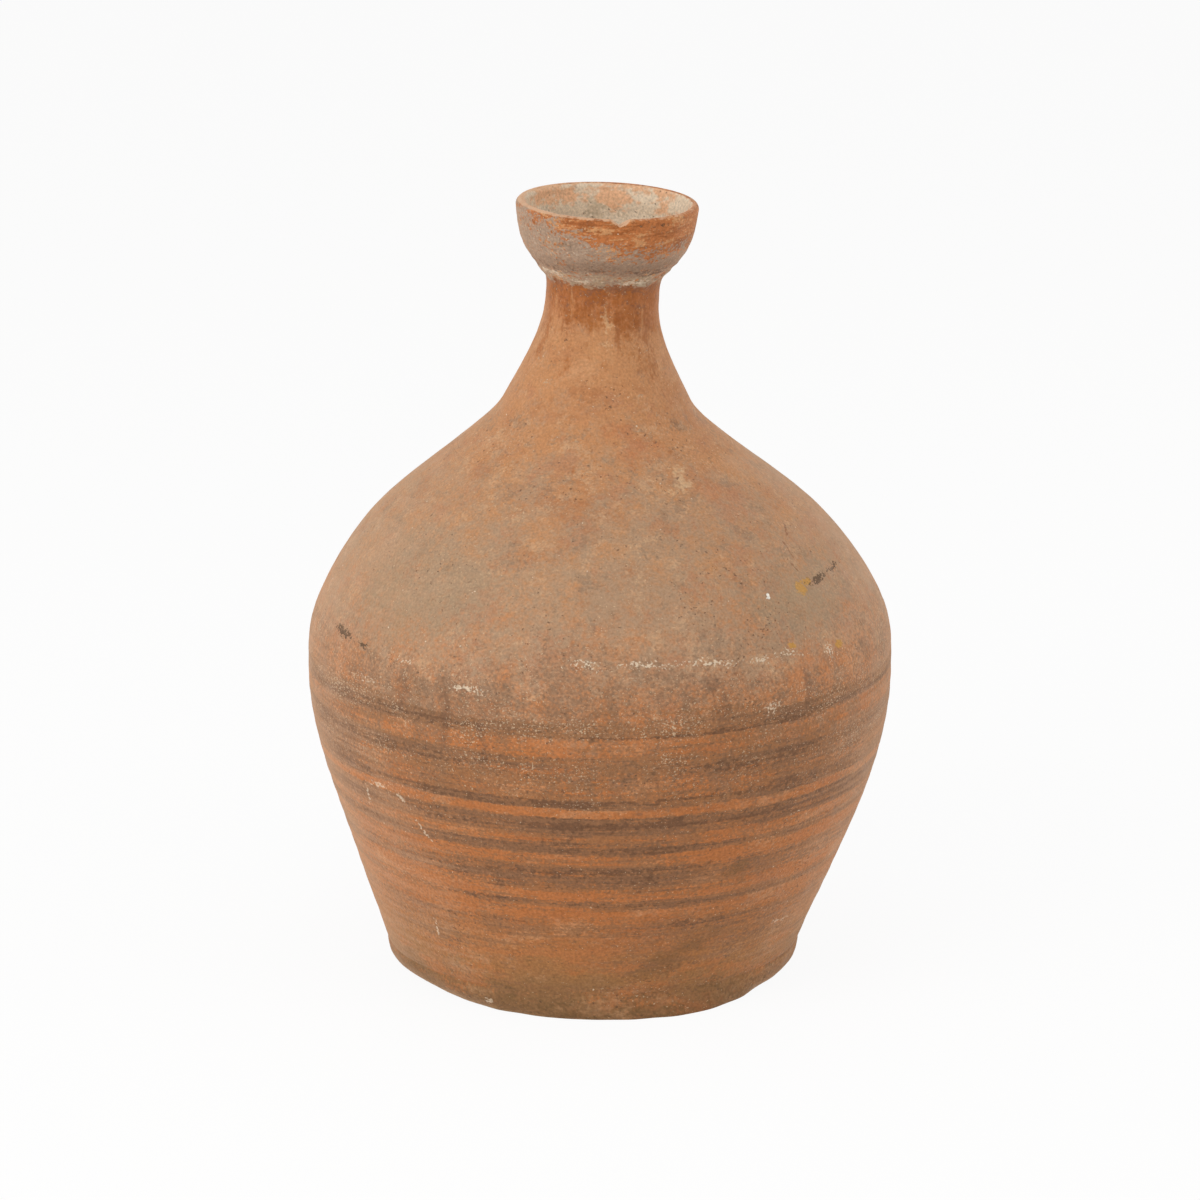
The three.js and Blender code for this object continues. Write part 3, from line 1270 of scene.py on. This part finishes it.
# Painted shade low on the cup, where it faces down, and a painted shadow in the crevice above the collar
CUP_PAINTED_SHADE = (
    LevelFilm(
        "#7d6552", (Pattern(14, 3, 0.5), Pattern(1.3, 1, 0.4)), 0.2, 0.9, 0.55,
        levels=((304, 0.1), (307, 0.75), (316, 0)),
    ),
    LevelFilm(
        "#5a4030", (Pattern(12, 4, 1), Pattern(3, 1.2, 0.8), Pattern(1.2, 0.9, 0.7)), 0.6, 1.05, 0.65,
        levels=((303, 0), (305, 0.82), (306.6, 0.82), (309, 0)),
        sway=COLLAR_SWAY,
    ),
)
# Inside, pale clay with cream lime and olive dust on it
CUP_INSIDE = (
    TraitFilm("#deb08a", (Pattern(3, 2, 0.3),), 0.1, 0.4, 0.95, trait=Trait.INSIDE),
    TraitFilm(
        "#dacab2", (Pattern(15, 8, 1.5), Pattern(4, 2.8, 0.9), Pattern(1.4, 1.1, 0.35)), 0.25, 0.85, 0.9,
        trait=Trait.INSIDE,
    ),
    TraitFilm(
        "#a08a6a", (Pattern(9, 5, 1.2), Pattern(1.4, 1.1, 0.8)), 0.95, 1.3, 0.36, trait=Trait.INSIDE
    ),
)
# Two dark smears along the lip
LIP_SMEARS = MarkFilm(
    SMUDGE, CRUMBLED, 0.5, 0.8, 0.8, marks=(Mark(27, 327.4, 9, 1.6), Mark(40, 327.4, 12, 1.8))
)

# What the whole wall has, and what the banded belly has over it, with painted sheen at the sides
WALL = (FIRED, *UNEVEN, *DUSTY)
BELLY = (*WALL, HAZE, *BANDED, *EARTHY, PAINTED_SIDE_SHEEN, SMOKE_SMUDGES)

# Earthy clay, rubbed duller and paler round the edge that it stands on
FOOT_CLAY = Earthenware(
    "foot_earthenware", "foot_clay", BARE_CLAY,
    (FIRED, *UNEVEN, *BANDED, *EARTHY, *GRITTY, RUBBED_FOOT, FOOT_LIME),
)
# Orange clay in dark smoke bands, rough with cream grit
BODY_CLAY = Earthenware(
    "banded_earthenware", "body_clay", BARE_CLAY,
    (*BELLY, EARTH_PATCHES, LIME_LINE, LIME_SCRAPES, *GRITTY, BELLY_GRIT),
)
# Smoother clay under mottled tan dust and painted sheen at the sides, with single smears, cracks and a chip
SHOULDER_CLAY = Earthenware(
    "dusted_earthenware", "shoulder_clay", BARE_CLAY,
    (
        *WALL, HAZE, GREY_DUST, PAINTED_SIDE_SHEEN, SMOKE_SMUDGES, LIME_LINE,
        *SMEARS, CRACKS, *ROOT_MARKS, WHITE_CHIP, *SMOOTHED, BELLY_GRIT,
    ),
)
# Smoothed orange clay, dark with stain, dirt and painted shade below the crusted collar
NECK_CLAY = Earthenware(
    "stained_earthenware", "neck_clay", BARE_CLAY,
    (*WALL, *ROOT_MARKS, *STAINED, LIME_RUN, COLLAR_DIRT_AND_SHADE, *LIME, *SMOOTHED),
    tilt=FORM.rim_tilt,
)
# Streaky orange clay under grey crust, with painted shade low down and a painted shadow in the crevice above
# the collar, cream inside, and worn pale along the lip with a painted highlight on the lit side
CUP_CLAY = Earthenware(
    "crusted_earthenware", "cup_clay", "#b06a39",
    (*CUP_LINES, *LIME, *CUP_PAINTED_SHADE, *CUP_INSIDE, LIP_SMEARS, Grain(1.05, 0.5, 0.25), *GRIT, WORN_EDGE_AND_HIGHLIGHT),
    tilt=FORM.rim_tilt,
)
# Slip takes the colours of the wall around it
SEAM_SLIP = Earthenware(
    "luting_slip", "luting_slip", BARE_CLAY, (*BELLY, LIME_LINE, *ROOT_MARKS, *GRITTY, BELLY_GRIT)
)
MOUTH_SLIP = replace(NECK_CLAY, name="mouth_slip", slot="luting_slip")


@dataclass(frozen=True)
class Piece:
    """A turned piece that stands for one solid of the jug.

    Attributes:
        name: Name of the piece.
        node: Solid that it replaces.
        finish: What it is made of.
        sides: Points round the axis.
        row: Distance between rows of points, in millimetres.
        ring: Height of the soft throwing rings on the inner wall, in millimetres.
        ring_pitch: Distance between those rings, in millimetres.
    """

    # Share of the wall's thickness at which the inside starts to show, and at which it is whole
    INSIDE_FADE = (0.5, 0.9)
    # Heights from the lip, in millimetres, between which the inside grows fainter, and by what share
    LIP_FADE, LIP_FAINTER = (-14.0, -2.0), 0.5
    # Less crust than this counts as none, and what is taken off there so that not a crumb shows
    LEAST_CRUST, NO_CRUST = 0.3, 0.4

    name: str
    node: str
    finish: Earthenware
    sides: int = 512
    row: float = 1.4
    ring: float = 0.3
    ring_pitch: float = 11.0

    def angles(self, rows: int) -> Array:
        """Repeats the angles of the sides, in radians, for a number of rows."""
        return np.tile(np.arange(self.sides) * 2 * np.pi / self.sides, (rows, 1))

    def levels(self, bottom: float, top: float, row: float) -> Array:
        """Spaces heights evenly from bottom to top, about a row apart, as a column."""
        return np.linspace(bottom, top, max(2, round((top - bottom) / row) + 1))[:, None]

    def outside(self, level: Array) -> Profile:
        """Works the outer wall.

        Args:
            level: Heights of its rows, as a column.

        Returns:
            Radii and heights of its points.
        """
        angle = self.angles(len(level))
        height = level + np.zeros_like(angle)
        worked = HANDS.outside(angle, height) + CRUST.thickness(angle, height)
        return FORM.wall(height)[0] + worked, height

    def inside(self, level: Array) -> Profile:
        """Shapes the inner wall with its throwing rings.

        Args:
            level: Heights of its rows, as a column.

        Returns:
            Radii and heights of its points.
        """
        angle = self.angles(len(level))
        height = level + np.zeros_like(angle)
        rings = self.ring * np.sin(2 * np.pi * (height / self.ring_pitch + angle / (2 * np.pi)))
        return FORM.wall(height)[1] + rings, height

    def traits(self, radius: Array, height: Array) -> dict[Trait, Array]:
        """Notes for the finish which points lie inside, and where crust is left.

        Args:
            radius: Radii of the points.
            height: Heights of the points.

        Returns:
            The notes.
        """
        outer, inner = FORM.wall(height)
        inside = smoothstep((outer - radius) / (outer - inner), *self.INSIDE_FADE)
        deep = 1 - self.LIP_FAINTER * smoothstep(height - FORM.rim_height, *self.LIP_FADE)
        crust = CRUST.cover(self.angles(len(height)), height) * (1 - inside)
        bare = 1 - smoothstep(crust, 0.0, self.LEAST_CRUST)
        return {Trait.INSIDE: inside * (1 + deep) - 1, Trait.CRUST: crust - self.NO_CRUST * bare}

    def turned(self, *parts: Profile, poles: bool = False) -> Object:
        """Makes the mesh from lengths of profile, which run round, or start and end on the axis as poles."""
        radius, height = (np.concatenate(rows) for rows in zip(*parts))
        return lathe(self.name, radius, height, self.traits(radius, height), poles)

    def shape(self) -> Object:
        """Shapes the piece."""
        raise NotImplementedError

    def build(self, materials: dict[str, Material]) -> Object:
        """Makes the piece, dresses it and puts it in the solid's place.

        Args:
            materials: Finished materials by name.

        Returns:
            The piece.
        """
        piece = self.shape()
        piece.data.materials.append(materials[self.finish.name])
        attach(piece, "root")
        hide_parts(self.node)
        LOG.info("%s: %d faces", piece.name, len(piece.data.polygons))
        return piece


@dataclass(frozen=True)
class WallSection(Piece):
    """A thrown length of wall.

    Attributes:
        bottom: Height of its lower edge, in millimetres.
        top: Height of its upper edge, in millimetres.
        inner_row: Distance between the rows of points on its inside, in millimetres.
    """

    bottom: float = 0.0
    top: float = 0.0
    inner_row: float = 7.0

    def shape(self) -> Object:
        """Shapes the wall, up the outside and down the inside.

        Returns:
            The wall, still without its finish.
        """
        return self.turned(
            self.outside(self.levels(self.bottom, self.top, self.row)),
            self.inside(self.levels(self.bottom, self.top, self.inner_row)[::-1]),
        )


@dataclass(frozen=True)
class SlipRing(Piece):
    """The slip in a seam, from wall to wall.

    Attributes:
        bottom: Height of its lower face, in millimetres.
        proud: How far it bulges out of the wall, in millimetres.
        rows: Rows of points up its outside.
    """

    bottom: float = 0.0
    proud: float = 0.1
    rows: int = 5

    def shape(self) -> Object:
        """Shapes the ring, up its bulge and down the inside.

        Returns:
            The ring, still without its finish.
        """
        top = self.bottom + FORM.slip_thickness
        radius, height = self.outside(np.linspace(self.bottom, top, self.rows)[:, None])
        bulge = np.sin(np.pi * np.linspace(0, 1, self.rows))[:, None]
        inner = self.inside(np.array([[top], [self.bottom]]))
        return self.turned((radius + self.proud * bulge, height), inner)


@dataclass(frozen=True)
class Chip:
    """A break in the lip: its angle in degrees, and its width and depth in millimetres."""

    angle: float
    width: float
    depth: float


@dataclass(frozen=True)
class MouthCup(Piece):
    """The cup-shaped mouth with its rounded and chipped lip.

    Attributes:
        bottom: Height of its lower edge, in millimetres.
        lip_steps: Steps of the rounding.
        chips: The breaks in the lip.
        chip_reach: How far down the wall a break bends it inwards, in millimetres.
        chip_bend: How far it bends it, as a share of the depth.
        chip_taper: How a break narrows downwards: straight if 1, round if less.
        ragged: How uneven its edge is.
        crumbs: Pattern of that edge.
        lip_highlight_angle: Direction in which the lip is rubbed most and painted lightest as a highlight,
            towards the lit side, in degrees.
    """

    # Depths of a break between which it starts to show, and depths below its edge over which that fades
    BREAK, BREAK_FADE = (0.1, 0.6), (0.1, 0.5)
    # How far the lip is rubbed bare, and how that grows towards the lit side as a painted highlight
    RUBBED, RUBBED_CHANGE = 0.6, 0.2
    # Distances inwards over which the rubbed top starts, and depths below the lip over which it fades
    RUBBED_START, RUBBED_FADE = (0.6, 1.6), (0.3, 1.4)

    bottom: float = 0.0
    lip_steps: int = 16
    chips: tuple[Chip, ...] = (Chip(8.0, 8.5, 2.8), Chip(-36.0, 4.0, 0.7))
    chip_reach: float = 6.0
    chip_bend: float = 0.4
    chip_taper: float = 0.8
    ragged: float = 0.2
    crumbs: Bumps = Bumps(FORM.rim_radius, 2.2, 2.2, 5.0)
    lip_highlight_angle: float = -75.0

    def lip(self, height: float) -> Profile:
        """Rounds the lip over from the outer wall to the inner one.

        Args:
            height: Height where the rounding starts, in millimetres.

        Returns:
            Radii and heights of its points.
        """
        outer, outer_height = self.outside(np.array([[height]]))
        inner, _ = self.inside(np.array([[height]]))
        turn = np.linspace(0, np.pi, self.lip_steps + 1)[1:-1, None]
        radius = (outer + inner) / 2 + (outer - inner) / 2 * np.cos(turn)
        return radius, outer_height + FORM.cup_wall / 2 * np.sin(turn)

    def lost(self, angle: Array) -> Array:
        """Finds how far the lip is broken down.

        Args:
            angle: Angles in radians.

        Returns:
            Depths in millimetres.
        """
        lost = np.zeros_like(angle)
        for chip in self.chips:
            aside = np.radians(away(angle, chip.angle)) * FORM.rim_radius
            share = np.clip(1 - 2 * aside / chip.width, 0, 1) ** self.chip_taper
            lost = np.maximum(lost, chip.depth * share)
        return lost

    def broken(self, radius: Array, height: Array) -> Profile:
        """Breaks the chips out of the lip.

        Args:
            radius: Radii of the cup's points.
            height: Heights of the cup's points.

        Returns:
            The new radii and heights.
        """
        angle = self.angles(len(radius))
        lost = self.lost(angle) * (1 + self.ragged * self.crumbs.at(angle, height))
        near = smoothstep(height, FORM.rim_height - self.chip_reach, FORM.rim_height)
        return radius - self.chip_bend * lost * near, np.minimum(height, FORM.rim_height - lost)

    def traits(self, radius: Array, height: Array) -> dict[Trait, Array]:
        """Adds the rubbed top of the lip, with its painted highlight on the lit side, and its breaks to what
        every piece notes.

        Args:
            radius: Radii of the points.
            height: Heights of the points.

        Returns:
            The notes.
        """
        angle = self.angles(len(radius))
        lost = self.lost(angle)
        depth = FORM.rim_height - lost - height
        broken = smoothstep(lost, *self.BREAK) * (1 - smoothstep(depth, *self.BREAK_FADE))
        # More of the pale top towards the lit side: a painted highlight
        handled_and_lit = self.RUBBED + self.RUBBED_CHANGE * np.cos(angle - math.radians(self.lip_highlight_angle))
        inner = smoothstep(FORM.rim_radius - radius, *self.RUBBED_START)
        rubbed = handled_and_lit * inner * (1 - smoothstep(depth, *self.RUBBED_FADE))
        return super().traits(radius, height) | {Trait.WORN: np.maximum(broken, rubbed)}

    def shape(self) -> Object:
        """Shapes the outside, the lip and the inside, and breaks the chips out.

        Returns:
            The cup, still without its finish.
        """
        lip_bottom = FORM.rim_height - FORM.cup_wall / 2
        parts = (
            self.outside(self.levels(self.bottom, lip_bottom, self.row)),
            self.lip(lip_bottom),
            self.inside(self.levels(self.bottom, lip_bottom, self.row)[::-1]),
        )
        return self.turned(self.broken(*(np.concatenate(rows) for rows in zip(*parts))))


@dataclass(frozen=True)
class EdgeShift:
    """A place where the foot's lower edge is worn back, or spread outwards when the jug was set down.

    Attributes:
        angle: Angle of its middle, in degrees.
        spread: How far it reaches to each side, in degrees.
        depth: How much is gone, in millimetres, or negative for clay that spread.
    """

    angle: float
    spread: float
    depth: float


@dataclass(frozen=True)
class BaseDisc(Piece):
    """The clay disc that the jug stands on, worn round its lower edge.

    Attributes:
        top: Height of its upper face, in millimetres.
        wear: How far the edge is rounded off everywhere, in millimetres.
        uneven: How uneven that is.
        patches: Pattern of the unevenness.
        shifts: Where it is worn more, or spread.
        edge_rows: Rows of points up its side.
        face_rings: Rings of points on each of its faces.
        hollow: How far the middle of its underside is drawn in, in millimetres.
    """

    # Powers of the depth with which the wear, the shifts and the rubbing grow
    WEAR_POWER, SHIFT_POWER, RUBBED_POWER = 4, 2, 8
    # What is gone where the edge is worn bare, in millimetres, and how bare rubbing alone makes it
    WORN_BARE, RUBBED = 7.0, 0.5
    # Shares of the radius of a face's first and last ring
    FIRST_RING, LAST_RING = 0.08, 0.96

    top: float = 0.0
    wear: float = 2.2
    uneven: float = 0.5
    patches: Bumps = Bumps(FORM.foot_radius, 14.0, 14.0, 2.0)
    shifts: tuple[EdgeShift, ...] = (
        EdgeShift(-57.0, 25.0, 5.0),
        EdgeShift(24.0, 26.0, -3.6),
        EdgeShift(62.0, 16.0, 2.2),
        EdgeShift(150.0, 30.0, 3.0),
        EdgeShift(215.0, 24.0, -2.0),
    )
    edge_rows: int = 20
    face_rings: int = 14
    hollow: float = 0.35

    def low(self, height: Array) -> Array:
        """Rates heights from 0 at the upper face to 1 at the ground."""
        return (1 - height / self.top).clip(0, 1)

    def gone(self, angle: Array, height: Array) -> Array:
        """Finds how far the edge is worn back.

        Args:
            angle: Angles in radians.
            height: Heights in millimetres.

        Returns:
            Distances in millimetres, negative where clay has spread.
        """
        low = self.low(height)
        gone = self.wear * (1 + self.uneven * self.patches.at(angle, height)) * low**self.WEAR_POWER
        for shift in self.shifts:
            near = np.exp(-((away(angle, shift.angle) / shift.spread) ** 2))
            gone = gone + shift.depth * near * low**self.SHIFT_POWER
        return gone

    def edge(self) -> Profile:
        """Shapes the side of the disc, with its worn lower edge, so that it runs on from the wall above.

        Returns:
            Radii and heights of its points.
        """
        level = np.linspace(0.0, self.top, self.edge_rows)[:, None]
        angle = self.angles(self.edge_rows)
        height = level + np.zeros_like(angle)
        return FORM.foot_radius + HANDS.outside(angle, height) - self.gone(angle, height), height

    def traits(self, radius: Array, height: Array) -> dict[Trait, Array]:
        """Notes the worn lower edge.

        Args:
            radius: Radii of the points.
            height: Heights of the points.

        Returns:
            The notes.
        """
        worn = self.gone(self.angles(len(radius)), height) / self.WORN_BARE
        rubbed = self.RUBBED * self.low(height) ** self.RUBBED_POWER
        return {Trait.WORN: np.clip(worn + rubbed, 0, 1)}

    def shape(self) -> Object:
        """Shapes the underside, the edge and the upper face.

        Returns:
            The disc, still without its finish.
        """
        edge, edge_height = self.edge()
        rings = np.linspace(self.FIRST_RING, self.LAST_RING, self.face_rings)[:, None]
        under = rings * edge[:1]
        under_height = self.hollow * (1 - rings) + np.zeros_like(under)
        over = rings[::-1] * edge[-1:]
        over_height = np.full_like(over, self.top)
        return self.turned((under, under_height), (edge, edge_height), (over, over_height), poles=True)


@dataclass(frozen=True)
class WineJug:
    """The whole jug, from the foot up."""

    form: JugForm = FORM

    def pieces(self) -> list[Piece]:
        """Lists the jug's pieces.

        Returns:
            The pieces, from the foot up.
        """
        form = self.form
        gap = form.fit_gap
        foot, belly = form.base_thickness + gap, form.lower_body_top + gap
        root, mouth = form.shoulder_top + gap, form.neck_top + gap
        slip = form.slip_thickness
        return [
            BaseDisc("foot_disc", "base_disc", FOOT_CLAY, top=foot),
            SlipRing("foot_slip", "foot_luting", SEAM_SLIP, bottom=foot, proud=0.0),
            WallSection("lower_body_wall", "lower_body", BODY_CLAY, bottom=foot + slip, top=belly),
            SlipRing("belly_slip", "belly_luting", SEAM_SLIP, bottom=belly, proud=0.05),
            WallSection("shoulder_wall", "shoulder", SHOULDER_CLAY, bottom=belly + slip, top=root),
            SlipRing("neck_root_slip", "neck_luting", SEAM_SLIP, bottom=root, proud=0.05),
            WallSection("neck_wall", "neck", NECK_CLAY, row=0.9, bottom=root + slip, top=mouth),
            SlipRing("mouth_slip", "mouth_luting", MOUTH_SLIP, bottom=mouth, proud=0.1),
            MouthCup("mouth_cup_bowl", "mouth_cup", CUP_CLAY, row=0.5, bottom=mouth + slip),
        ]

    def build(self) -> None:
        """Makes every piece of the jug."""
        materials: dict[str, Material] = {}
        for piece in self.pieces():
            finish = piece.finish
            if finish.name not in materials:
                materials[finish.name] = finish.make()
            piece.build(materials)


@dataclass(frozen=True)
class Lamp:
    """A soft square lamp aimed at the jug.

    Attributes:
        name: Name of the lamp.
        angle: Direction it stands in, in degrees to the right of the front.
        rise: Its elevation, in degrees.
        distance: Its distance from the jug's middle, in metres.
        size: Length of its side, in metres.
        power: Its power, in watts.
    """

    name: str
    angle: float
    rise: float
    distance: float
    size: float
    power: float


@dataclass(frozen=True)
class Studio:
    """A pale floor, soft lamps and the camera of the photograph."""

    # Height of the jug's middle and distance of the camera in metres, its rise in degrees, its lens in mm
    middle: float = 0.1572
    view_rise: float = 16.0
    view_distance: float = 2.6
    lens: float = 184.2
    sensor: float = 36.0
    # Side of the floor in metres, its colour, and how far the camera sees it as plain light
    floor_size: float = 12.0
    paper: str = "#f4f3f1"
    floor_white: float = 0.92
    # The room's even light
    light: str = "#ffffff"
    ambient: float = 0.5
    lamps: tuple[Lamp, ...] = (
        Lamp("key_lamp", -46.0, 26.0, 1.5, 1.0, 11.0),
        Lamp("right_lamp", 62.0, 25.0, 1.6, 0.9, 4.5),
        Lamp("top_lamp", 0.0, 80.0, 1.4, 1.0, 2.0),
        Lamp("left_edge_lamp", -115.0, 12.0, 1.3, 0.8, 1.6),
        Lamp("right_edge_lamp", 115.0, 12.0, 1.3, 0.8, 2.5),
    )

    def spot(self, angle: float, rise: float, distance: float) -> Vector:
        """Finds the point at an angle and a rise in degrees, and a distance in metres, from the jug's middle.

        Args:
            angle: Angle to the right of the front.
            rise: Elevation.
            distance: Distance.

        Returns:
            The point.
        """
        turn, lift = math.radians(angle), math.radians(rise)
        flat = distance * math.cos(lift)
        up = self.middle + distance * math.sin(lift)
        return Vector((flat * math.sin(turn), -flat * math.cos(turn), up))

    def aim(self, thing: Object, location: Vector) -> None:
        """Places a lamp or camera and turns it to the jug's middle.

        Args:
            thing: The lamp or camera.
            location: Where it goes, in metres.
        """
        thing.location = location
        thing.rotation_euler = (Vector((0, 0, self.middle)) - location).to_track_quat("-Z", "Y").to_euler()
        bpy.context.scene.collection.objects.link(thing)

    def add_camera(self) -> None:
        """Adds the camera."""
        data = bpy.data.cameras.new("photo_camera")
        data.lens = self.lens
        data.sensor_width = self.sensor
        camera = bpy.data.objects.new("photo_camera", data)
        self.aim(camera, self.spot(0.0, self.view_rise, self.view_distance))
        bpy.context.scene.camera = camera

    def add_lamps(self) -> None:
        """Adds the lamps."""
        for lamp in self.lamps:
            data = bpy.data.lights.new(lamp.name, "AREA")
            data.size = lamp.size
            data.energy = lamp.power
            self.aim(bpy.data.objects.new(lamp.name, data), self.spot(lamp.angle, lamp.rise, lamp.distance))

    def seen(self, tree: NodeTree) -> NodeSocket:
        """Adds a mask that is 1 for what the camera sees, straight or in a reflection.

        Args:
            tree: Tree that gets the mask.

        Returns:
            The mask.
        """
        camera = add(tree, Kind.LIGHT_PATH, {}, "Is Camera Ray")
        mirror, glass = (camera.node.outputs[name] for name in ("Is Glossy Ray", "Is Transmission Ray"))
        either = add(tree, Kind.MATH, {0: mirror, 1: glass}, operation="MAXIMUM")
        return add(tree, Kind.MATH, {0: camera, 1: either}, operation="MAXIMUM")

    def add_world(self) -> None:
        """Adds the even light of the room, and white where the camera looks past the floor."""
        world = bpy.data.worlds.new("studio_room")
        world.use_nodes = True
        tree = world.node_tree
        tree.nodes.clear()
        room = add(tree, Kind.BACKGROUND, {"Color": linear(self.light), "Strength": self.ambient})
        white = add(tree, Kind.BACKGROUND, {"Color": linear(self.light), "Strength": 1.0})
        both = add(tree, Kind.MIX_SHADER, {0: self.seen(tree), 1: room, 2: white})
        add(tree, Kind.WORLD_OUTPUT, {"Surface": both})
        bpy.context.scene.world = world

    def add_floor(self) -> None:
        """Adds the floor, which is nearly white to the camera and still takes the jug's shadow."""
        half = self.floor_size / 2
        mesh = bpy.data.meshes.new("floor")
        corners = [(-half, -half, 0), (half, -half, 0), (half, half, 0), (-half, half, 0)]
        mesh.from_pydata(corners, [], [(0, 1, 2, 3)])
        floor = bpy.data.objects.new("floor", mesh)
        bpy.context.scene.collection.objects.link(floor)
        material = bpy.data.materials.new("white_paper_floor")
        material.use_nodes = True
        tree = material.node_tree
        tree.nodes.clear()
        share = add(tree, Kind.MATH, {0: self.seen(tree), 1: self.floor_white}, operation="MULTIPLY")
        paper = add(tree, Kind.DIFFUSE, {"Color": linear(self.paper)})
        white = add(tree, Kind.EMISSION, {"Color": linear(self.light), "Strength": 1.0})
        both = add(tree, Kind.MIX_SHADER, {0: share, 1: paper, 2: white})
        add(tree, Kind.OUTPUT, {"Surface": both})
        mesh.materials.append(material)

    def build(self) -> None:
        """Sets up the studio."""
        bpy.context.scene.view_settings.view_transform = "Standard"
        self.add_camera()
        self.add_lamps()
        self.add_world()
        self.add_floor()


def main() -> None:
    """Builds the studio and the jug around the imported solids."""
    logging.basicConfig(level=logging.INFO, format="%(name)s: %(message)s")
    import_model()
    Studio().build()
    WineJug().build()


if __name__ == "__main__":
    main()
